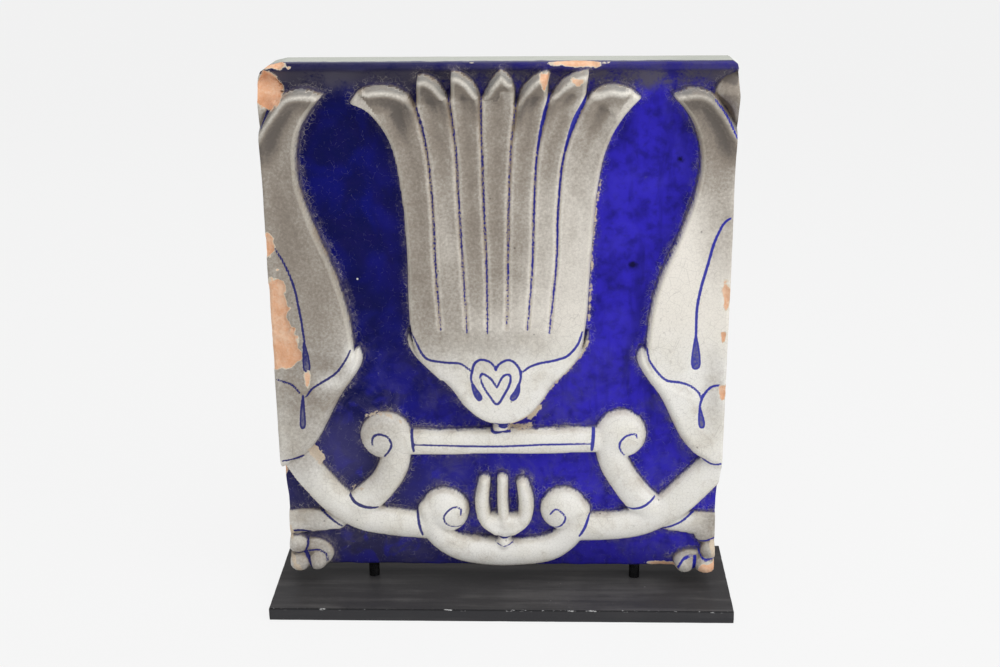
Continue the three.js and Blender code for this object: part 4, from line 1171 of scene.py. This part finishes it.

    # Warm white, greyed and painted with shade on the less lit left and upper parts, painted shade in
    # hollows and under the petal lips, painted highlights on the arrises, crests and groove edges
    cream = f.mix(f.step(cloud, 0.35, 0.70), look.cream, Tone.warm_cream)
    cream = f.mix(f.step(z, 0.235, 0.285), cream, Tone.upper_cream)
    # Painted shade: darker in the hollows of the relief
    shade = smoke_and_shade * (0.86 + cloud * 0.36) + f.step(hollow, -0.3, 2.2) * (0.22 + smoke_and_shade * 0.34)
    shade = shade + (patch - 0.5) * 0.30 + (grain - 0.5) * (0.26 + smoke_and_shade * 0.52)
    # Painted highlight: lighter white beside the petal grooves and along the side petals' edges
    shade = shade - f.step(rib, 5.5, 1.8) * (0.10 + smoke_and_shade * 0.20)
    below_lip = lip_gap + (patch - 0.5) * 2.0
    # Painted shadow under each petal's curled lip, fading down the petal
    under = f.step(below_lip, 0.0, 5.5) * f.step(below_lip, 24.0, 5.0)
    # Painted highlight along the crest of each petal's lip
    crest_highlight = f.step(below_lip, -2.4, 0.2) * f.step(below_lip, 4.6, 0.6)
    slope = f.step(below_lip, 0.2, -2.4)
    shade = shade + under * (0.66 - rightward * 0.22) - crest_highlight * 0.16 + slope * 0.06
    white = f.mix(f.step(shade, 0.05, 1.05), cream, look.smoked_and_shaded)
    # The darkest grey, where greyed glaze and painted shade add up
    white = f.mix(f.step(shade, 0.90, 1.50) * 0.85, white, Tone.soot_and_shade)
    # Painted highlight: paler white on the convex arrises of the forms
    arris = f.step(fine_hollow, -0.12, -0.75) * f.step(edge, 9.0, 3.0) * (1 - crest_highlight) * (1 - slope)
    white = f.mix(arris * (0.52 - smoke_and_shade * 0.40), white, Tone.arris_highlight)
    white = f.mix(slope * 0.78, white, Tone.rim)
    white = f.mix(crest_highlight * (grain * 0.8 - 0.18), white, Tone.crest_highlight)
    # Painted highlight along the outer edge of each petal's rim
    white = f.mix(f.step(edge, 1.8, 0.6) * slope * 0.6, white, Tone.rim_edge_highlight)
    brown = (f.step(edge, 5.0, 1.2) * f.step(patch, 0.42, 0.68) * 0.40).most(
        f.step(rib, 3.4, 1.2) * (0.18 + f.step(wisp, 0.40, 0.62) * 0.30))
    white = f.mix(brown, white, Tone.brown)
    smudge = f.step(f.noise(place, 44.0, 6.0, 0.72, 0.6), 0.50, 0.72) * f.step(z, 0.30, 0.20)
    white = f.mix(smudge * 0.34, white, Tone.smudge)
    craze_small = f.step(f.cracks(place, 330.0, 0.85), 0.05, 0.0) * (0.24 - smoke_and_shade * 0.14)
    craze_wide = f.step(f.cracks(place, 95.0, 0.95), 0.022, 0.0) * 0.30
    craze = craze_small.most(craze_wide * f.step(cloud, 0.42, 0.60))
    white = f.mix(craze, white, Tone.craze)
    pits = f.step(f.dots(place, 62.0), 0.075, 0.045) * f.step(patch, 0.48, 0.60)
    white = f.mix(pits * 0.7, white, Tone.pit)

    # Which glaze lies where, and the brush lines
    ragged = (grain - 0.5) * 1.6 + (patch - 0.5) * 1.8
    is_white = f.step(edge + ragged, 0.2, 0.9)
    glaze = f.mix(is_white, cobalt, white)
    # Painted shade: a dark band in the crease at the foot of each form's wall
    outline = f.step(edge + ragged, -0.8, 0.0) * (1 - f.step(edge + ragged, 0.6, 1.4))
    glaze = f.mix(outline * 0.55, glaze, Tone.outline)
    taken = (f.noise(place, 520.0, 2.0, 0.7) - 0.38) * 5.5 * wear
    line = f.step(brush - taken + (grain - 0.5) * 0.9, -0.15, 0.35)
    # Brush lines darker on the left, partly painted shade as in the cobalt
    line_colour = f.mix(rightward, Tone.ink_left, Tone.ink_right)
    glaze = f.mix(line * is_white * 0.94, glaze, line_colour)
    thin = f.step(brush, 1.3, 2.1) * f.step(patch + (grain - 0.5) * 0.8, 0.36, 0.62)
    glaze = f.mix(thin * is_white * 0.75, glaze, Tone.thin_ink)

    # Tan slip, chips with a pale rim, and the bare back, sides and underside
    torn = (f.noise(place, 190.0, 4.0, 0.7) - 0.5) * 7.0
    tan_share = f.step(tan + (grain - 0.5) * 3.0 + torn, -0.3, 0.5)
    glaze = f.mix(tan_share, glaze, f.mix(speck, Tone.tan, Tone.pale_tan))
    clay = f.mix(f.step(patch + (grain - 0.5) * 0.5, 0.30, 0.75), look.clay, Tone.pale_clay)
    clay = f.mix(f.step(speck, 0.62, 0.72) * 0.5, clay, Tone.grit)
    ragged_chip = chip + (grain - 0.5) * 2.2 + (f.noise(place, 160.0, 4.0, 0.7) - 0.5) * 3.0
    glaze = f.mix(f.step(ragged_chip + patch * 0.9, -0.35, 0.0) * 0.9, glaze, Tone.chip_rim)
    chipped = f.step(ragged_chip, -0.25, 0.15)
    behind = f.step(y + (patch - 0.5) * 0.012, -0.016, -0.006)
    bare = (1 - face) * behind
    lip = (1 - face) * f.step(z + (grain - 0.5) * 0.001, 0.4985, 0.4995)
    backward = f.step(y + (patch - 0.5) * 0.012, -0.0150, -0.0085)
    top_glaze = f.mix(backward, Tone.top_front, Tone.top_back)
    slip = f.mix(f.step(cloud + (grain - 0.5) * 0.3, 0.42, 0.66), Tone.slip, Tone.pale_slip)
    slip = f.mix(f.step(wisp, 0.55, 0.75) * 0.5, slip, Tone.slip_stain)
    base = f.mix(bare, glaze, slip)
    base = f.mix(lip, base, top_glaze)
    base = f.mix(chipped, base, clay)

    dull = chipped.most(bare * (1 - lip)).most(tan_share * face)
    rough = 0.20 + (patch - 0.5) * 0.16 + veil * 0.25 + dull * 0.62
    height = (craze * -0.30 + (grain - 0.5) * 0.10 + (patch - 0.5) * 0.55 + (cloud - 0.5) * 0.8) * (1 - dull)
    height = height + dull * ((grain - 0.5) * 1.4 + (patch - 0.5) * 1.6)
    return f.surface(Base_Color=base, Roughness=rough.most(0.08), Normal=f.bump(height, 0.55, 0.0009),
                     Specular_IOR_Level=0.08, IOR=1.5)


def black_paint(look):
    """Black paint brushed along the board, rubbed grey in streaks and knocked pale on its arrises, with
    painted shade on its sides and along its front arris.
    """
    f = Finish("black_board")
    place = f.place()
    _, y, z = f.axes(place)
    streak = f.drawn_out(place, (7.0, 90.0, 60.0), 5.0, 0.6, 0.3)
    cloud = f.noise(place, 24.0, 4.0, 0.6)
    grain = f.noise(place, 700.0, 3.0, 0.6)
    rubbed = f.step(streak + (cloud - 0.5) * 0.5, 0.42, 0.80)
    black = f.mix(rubbed * 0.75, look.board, look.board_rubbed)
    dust = f.step(f.dots(place, 120.0), 0.10, 0.05) * f.step(cloud, 0.56, 0.70)
    black = f.mix(dust * 0.6, black, Tone.board_dust)
    low, high = (corner / 1000 for corner in (BOARD_LOW, BOARD_HIGH))
    front_arris = f.step(y, low[1] + 0.0016, low[1] + 0.0004) * f.step(z, high[2] - 0.0018, high[2] - 0.0004)
    # Painted shade: the board's sides and front darker than its top
    painted_flank_shade = f.step(z, high[2] - 0.0004, high[2] - 0.0016)
    black = f.mix(painted_flank_shade * 0.75, black, Tone.board_flank_shade)
    # Painted shade along the board's front arris
    black = f.mix(front_arris * 0.9, black, Tone.board_arris_shade)
    nicks = f.drawn_out(place, (150.0, 400.0, 400.0), 3.0, 0.7)
    nicked = f.step(nicks + (cloud - 0.5) * 0.55, 0.60, 0.68)
    black = f.mix(front_arris * nicked * 0.9, black, Tone.board_nick)
    rough = 0.42 + (cloud - 0.5) * 0.25 + (streak - 0.5) * 0.18
    height = (streak - 0.5) * 0.8 + (grain - 0.5) * 0.5
    return f.surface(Base_Color=black, Roughness=rough, Normal=f.bump(height, 0.35, 0.0004),
                     Specular_IOR_Level=0.22)


def black_rod(look):
    """Blackened steel: nearly black, drawn lines along it, rubbed brighter in places."""
    f = Finish("black_rod")
    place = f.place()
    drawn_lines = f.drawn_out(place, (900.0, 900.0, 30.0), 3.0)
    cloud = f.noise(place, 180.0, 3.0, 0.6)
    black = f.mix(f.step(cloud, 0.45, 0.75) * 0.5, look.rod, Tone.rod_rubbed)
    rough = 0.26 + (drawn_lines - 0.5) * 0.2 + (cloud - 0.5) * 0.15
    height = (drawn_lines - 0.5) + (cloud - 0.5) * 0.5
    return f.surface(Base_Color=black, Roughness=rough, Normal=f.bump(height, 0.25, 0.0003), Metallic=0.35)


def floor_finish(look):
    """Pale studio floor, made even by a little light of its own."""
    f = Finish("studio_floor")
    return f.surface(Base_Color=colour(look.floor), Roughness=0.9, Emission_Color=(1, 1, 1, 1),
                     Emission_Strength=look.floor_glow, Specular_IOR_Level=0.1)


def tint(name, description, value):
    """A colour that a user may change."""
    return bpy.props.FloatVectorProperty(name=name, description=description, default=value, subtype="COLOR",
                                         size=3, min=0, max=1)


def amount(name, description, value, low=0.0, **more):
    """A number that a user may change."""
    return bpy.props.FloatProperty(name=name, description=description, default=value, min=low, **more)


class FriezeTileSettings(bpy.types.PropertyGroup):
    """Colours of the glazes and the clay."""
    # Navy against ultramarine: partly deeper cobalt on the left, partly painted shade for the weaker light
    # there
    navy: tint("Navy", "Cobalt glaze on the left of the tile", (0.0012, 0.0026, 0.078))
    ultramarine: tint("Ultramarine", "Cobalt glaze on the right of the tile", (0.033, 0.021, 0.52))
    deep_blue: tint("Deep blue", "Darker pools in the cobalt", (0.006, 0.004, 0.10))
    cream: tint("Cream", "Clean white glaze", (0.93, 0.91, 0.86))
    # Grey that the white is mixed towards: greyed glaze, and painted shade on the left and upper parts, in
    # hollows and under the petal lips
    smoked_and_shaded: tint("Smoked glaze", "White glaze where it is grey", (0.290, 0.250, 0.208))
    clay: tint("Clay", "Fired clay in the chips", (0.78, 0.41, 0.235))


class FriezeStandSettings(bpy.types.PropertyGroup):
    """Sizes and colours of the stand."""
    arris: amount("Arris", "Radius of the board's edges", 0.0006, max=0.003, unit="LENGTH")
    board: tint("Board", "Black paint", (0.052, 0.050, 0.052))
    board_rubbed: tint("Rubbed board", "Black paint where it is rubbed", (0.115, 0.110, 0.110))
    rod: tint("Rods", "Blackened steel", (0.010, 0.010, 0.011))


class FriezeStudioSettings(bpy.types.PropertyGroup):
    """Light, floor and camera."""
    floor: tint("Floor", "Pale floor", (0.07, 0.07, 0.07))
    floor_glow: amount("Floor glow", "Light of the floor's own", 0.86)
    top_power: amount("Top light", "Power of the light overhead", 24, unit="POWER")
    side_power: amount("Side light", "Power of the light on the right", 7, unit="POWER")
    fill_power: amount("Fill light", "Power of the lights on the left and behind", 2, unit="POWER")
    lens: amount("Lens", "Focal length", 52.93, low=10, unit="CAMERA")


def finished(piece, material, slot, *nodes):
    """Gives a piece its material, and makes it ride on the part in place of its solids."""
    piece.data.materials.append(material)
    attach(piece, "root")
    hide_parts(*nodes)


class FRIEZE_OT_tile(bpy.types.Operator):
    """Build the glazed relief tile"""
    bl_idname = "frieze.tile"
    bl_label = "Relief tile"
    bl_options = {"REGISTER", "UNDO"}

    def execute(self, context):
        look = context.scene.frieze_tile
        finished(tile_body(), glazed_clay(look), "glazed_clay", "tile")
        return {"FINISHED"}


class FRIEZE_OT_board(bpy.types.Operator):
    """Build the black board that the tile stands on"""
    bl_idname = "frieze.board"
    bl_label = "Board"
    bl_options = {"REGISTER", "UNDO"}

    def execute(self, context):
        look = context.scene.frieze_stand
        finished(board_body(look.arris * 1000), black_paint(look), "black_board", "base_plate")
        return {"FINISHED"}


class FRIEZE_OT_rods(bpy.types.Operator):
    """Build the two rods between the board and the tile"""
    bl_idname = "frieze.rods"
    bl_label = "Rods"
    bl_options = {"REGISTER", "UNDO"}

    def execute(self, context):
        material = black_rod(context.scene.frieze_stand)
        for name, node in (("stand_rod_left", "left_rod"), ("stand_rod_right", "right_rod")):
            finished(rod_body(name, node), material, "black_rod", node)
        return {"FINISHED"}


def area_light(name, size, power, place, target, tone=(1, 1, 1)):
    """A square soft light at a place, turned to look at a target."""
    lamp = bpy.data.lights.new(name, "AREA")
    lamp.shape = "SQUARE"
    lamp.size = size
    lamp.energy = power
    lamp.color = tone
    holder = bpy.data.objects.new(name, lamp)
    holder.location = place
    holder.rotation_euler = (Vector(target) - Vector(place)).to_track_quat("-Z", "Y").to_euler()
    bpy.context.scene.collection.objects.link(holder)


# Where the camera stands, in metres, and its yaw, pitch and roll in degrees
CAMERA_PLACE = (0.0416, -1.2379, 0.7013)
CAMERA_ANGLES = (-1.921, 19.737, 0.572)


def camera_turn(yaw, pitch, roll):
    """The turn of a camera that looks along +Y, turned left by yaw, down by pitch and rolled."""
    ahead = Vector((math.sin(yaw) * math.cos(pitch), math.cos(yaw) * math.cos(pitch), -math.sin(pitch)))
    right = Vector((math.cos(yaw), -math.sin(yaw), 0))
    down = ahead.cross(right)
    rolled = math.cos(roll) * right + math.sin(roll) * down
    below = -math.sin(roll) * right + math.cos(roll) * down
    return Matrix((rolled, -below, -ahead)).transposed().to_4x4()


class FRIEZE_OT_studio(bpy.types.Operator):
    """Set up the pale floor, the soft lights and the camera"""
    bl_idname = "frieze.studio"
    bl_label = "Studio"
    bl_options = {"REGISTER", "UNDO"}

    def execute(self, context):
        look = context.scene.frieze_studio
        corners = 96
        turn = np.linspace(0, 2 * np.pi, corners, endpoint=False)
        circle = np.column_stack([np.cos(turn), np.sin(turn), np.zeros(corners)])
        rings = [circle * radius for radius in (400.0, 12000.0)]
        numbers = np.arange(2 * corners).reshape(2, corners)
        faces = quads(np.hstack([numbers, numbers[:, :1]])) + [numbers[0].tolist()]
        floor = mesh_object("studio_floor", np.vstack(rings), faces)
        floor.data.materials.append(floor_finish(look))
        middle = (0, 0, 0.25)
        area_light("light_top", 1.8, look.top_power, (0.30, -0.45, 1.70), middle)
        area_light("light_right", 1.1, look.side_power, (1.45, -0.95, 0.95), middle)
        area_light("light_left", 1.4, look.fill_power, (-1.6, -0.9, 0.9), middle)
        area_light("light_back", 1.6, look.fill_power, (-0.4, 1.6, 1.3), middle)
        world = bpy.data.worlds.new("studio_air")
        world.use_nodes = True
        tree = world.node_tree
        ground = tree.nodes["Background"]
        ground.inputs["Color"].default_value = (0.92, 0.93, 0.95, 1)
        ground.inputs["Strength"].default_value = 0.22
        context.scene.world = world
        lens = bpy.data.cameras.new("camera")
        lens.lens = look.lens
        lens.sensor_width = 36
        lens.clip_start = 0.05
        holder = bpy.data.objects.new("camera", lens)
        turned = camera_turn(*(math.radians(angle) for angle in CAMERA_ANGLES))
        holder.matrix_world = Matrix.Translation(CAMERA_PLACE) @ turned
        context.scene.collection.objects.link(holder)
        context.scene.camera = holder
        context.scene.view_settings.view_transform = "Standard"
        return {"FINISHED"}


class FRIEZE_PT_panel(bpy.types.Panel):
    """Lists the pieces and their settings"""
    bl_idname = "FRIEZE_PT_panel"
    bl_label = "Frieze tile"
    bl_space_type = "VIEW_3D"
    bl_region_type = "UI"
    bl_category = "Frieze tile"

    def draw(self, context):
        groups = (
            (context.scene.frieze_tile, (FRIEZE_OT_tile,)),
            (context.scene.frieze_stand, (FRIEZE_OT_board, FRIEZE_OT_rods)),
            (context.scene.frieze_studio, (FRIEZE_OT_studio,)),
        )
        for settings, makers in groups:
            box = self.layout.box()
            for key in settings.__annotations__:
                box.prop(settings, key)
            for maker in makers:
                box.operator(maker.bl_idname)


CLASSES = (FriezeTileSettings, FriezeStandSettings, FriezeStudioSettings, FRIEZE_OT_tile, FRIEZE_OT_board,
           FRIEZE_OT_rods, FRIEZE_OT_studio, FRIEZE_PT_panel)


SETTINGS = {
    "frieze_tile": FriezeTileSettings,
    "frieze_stand": FriezeStandSettings,
    "frieze_studio": FriezeStudioSettings,
}


def register():
    for kind in CLASSES:
        bpy.utils.register_class(kind)
    for key, kind in SETTINGS.items():
        setattr(bpy.types.Scene, key, bpy.props.PointerProperty(type=kind))


def unregister():
    for key in SETTINGS:
        delattr(bpy.types.Scene, key)
    for kind in reversed(CLASSES):
        bpy.utils.unregister_class(kind)


def main():
    """Builds everything in order."""
    register()
    bpy.ops.frieze.tile()
    bpy.ops.frieze.board()
    bpy.ops.frieze.rods()
    bpy.ops.frieze.studio()


if __name__ == "__main__":
    main()
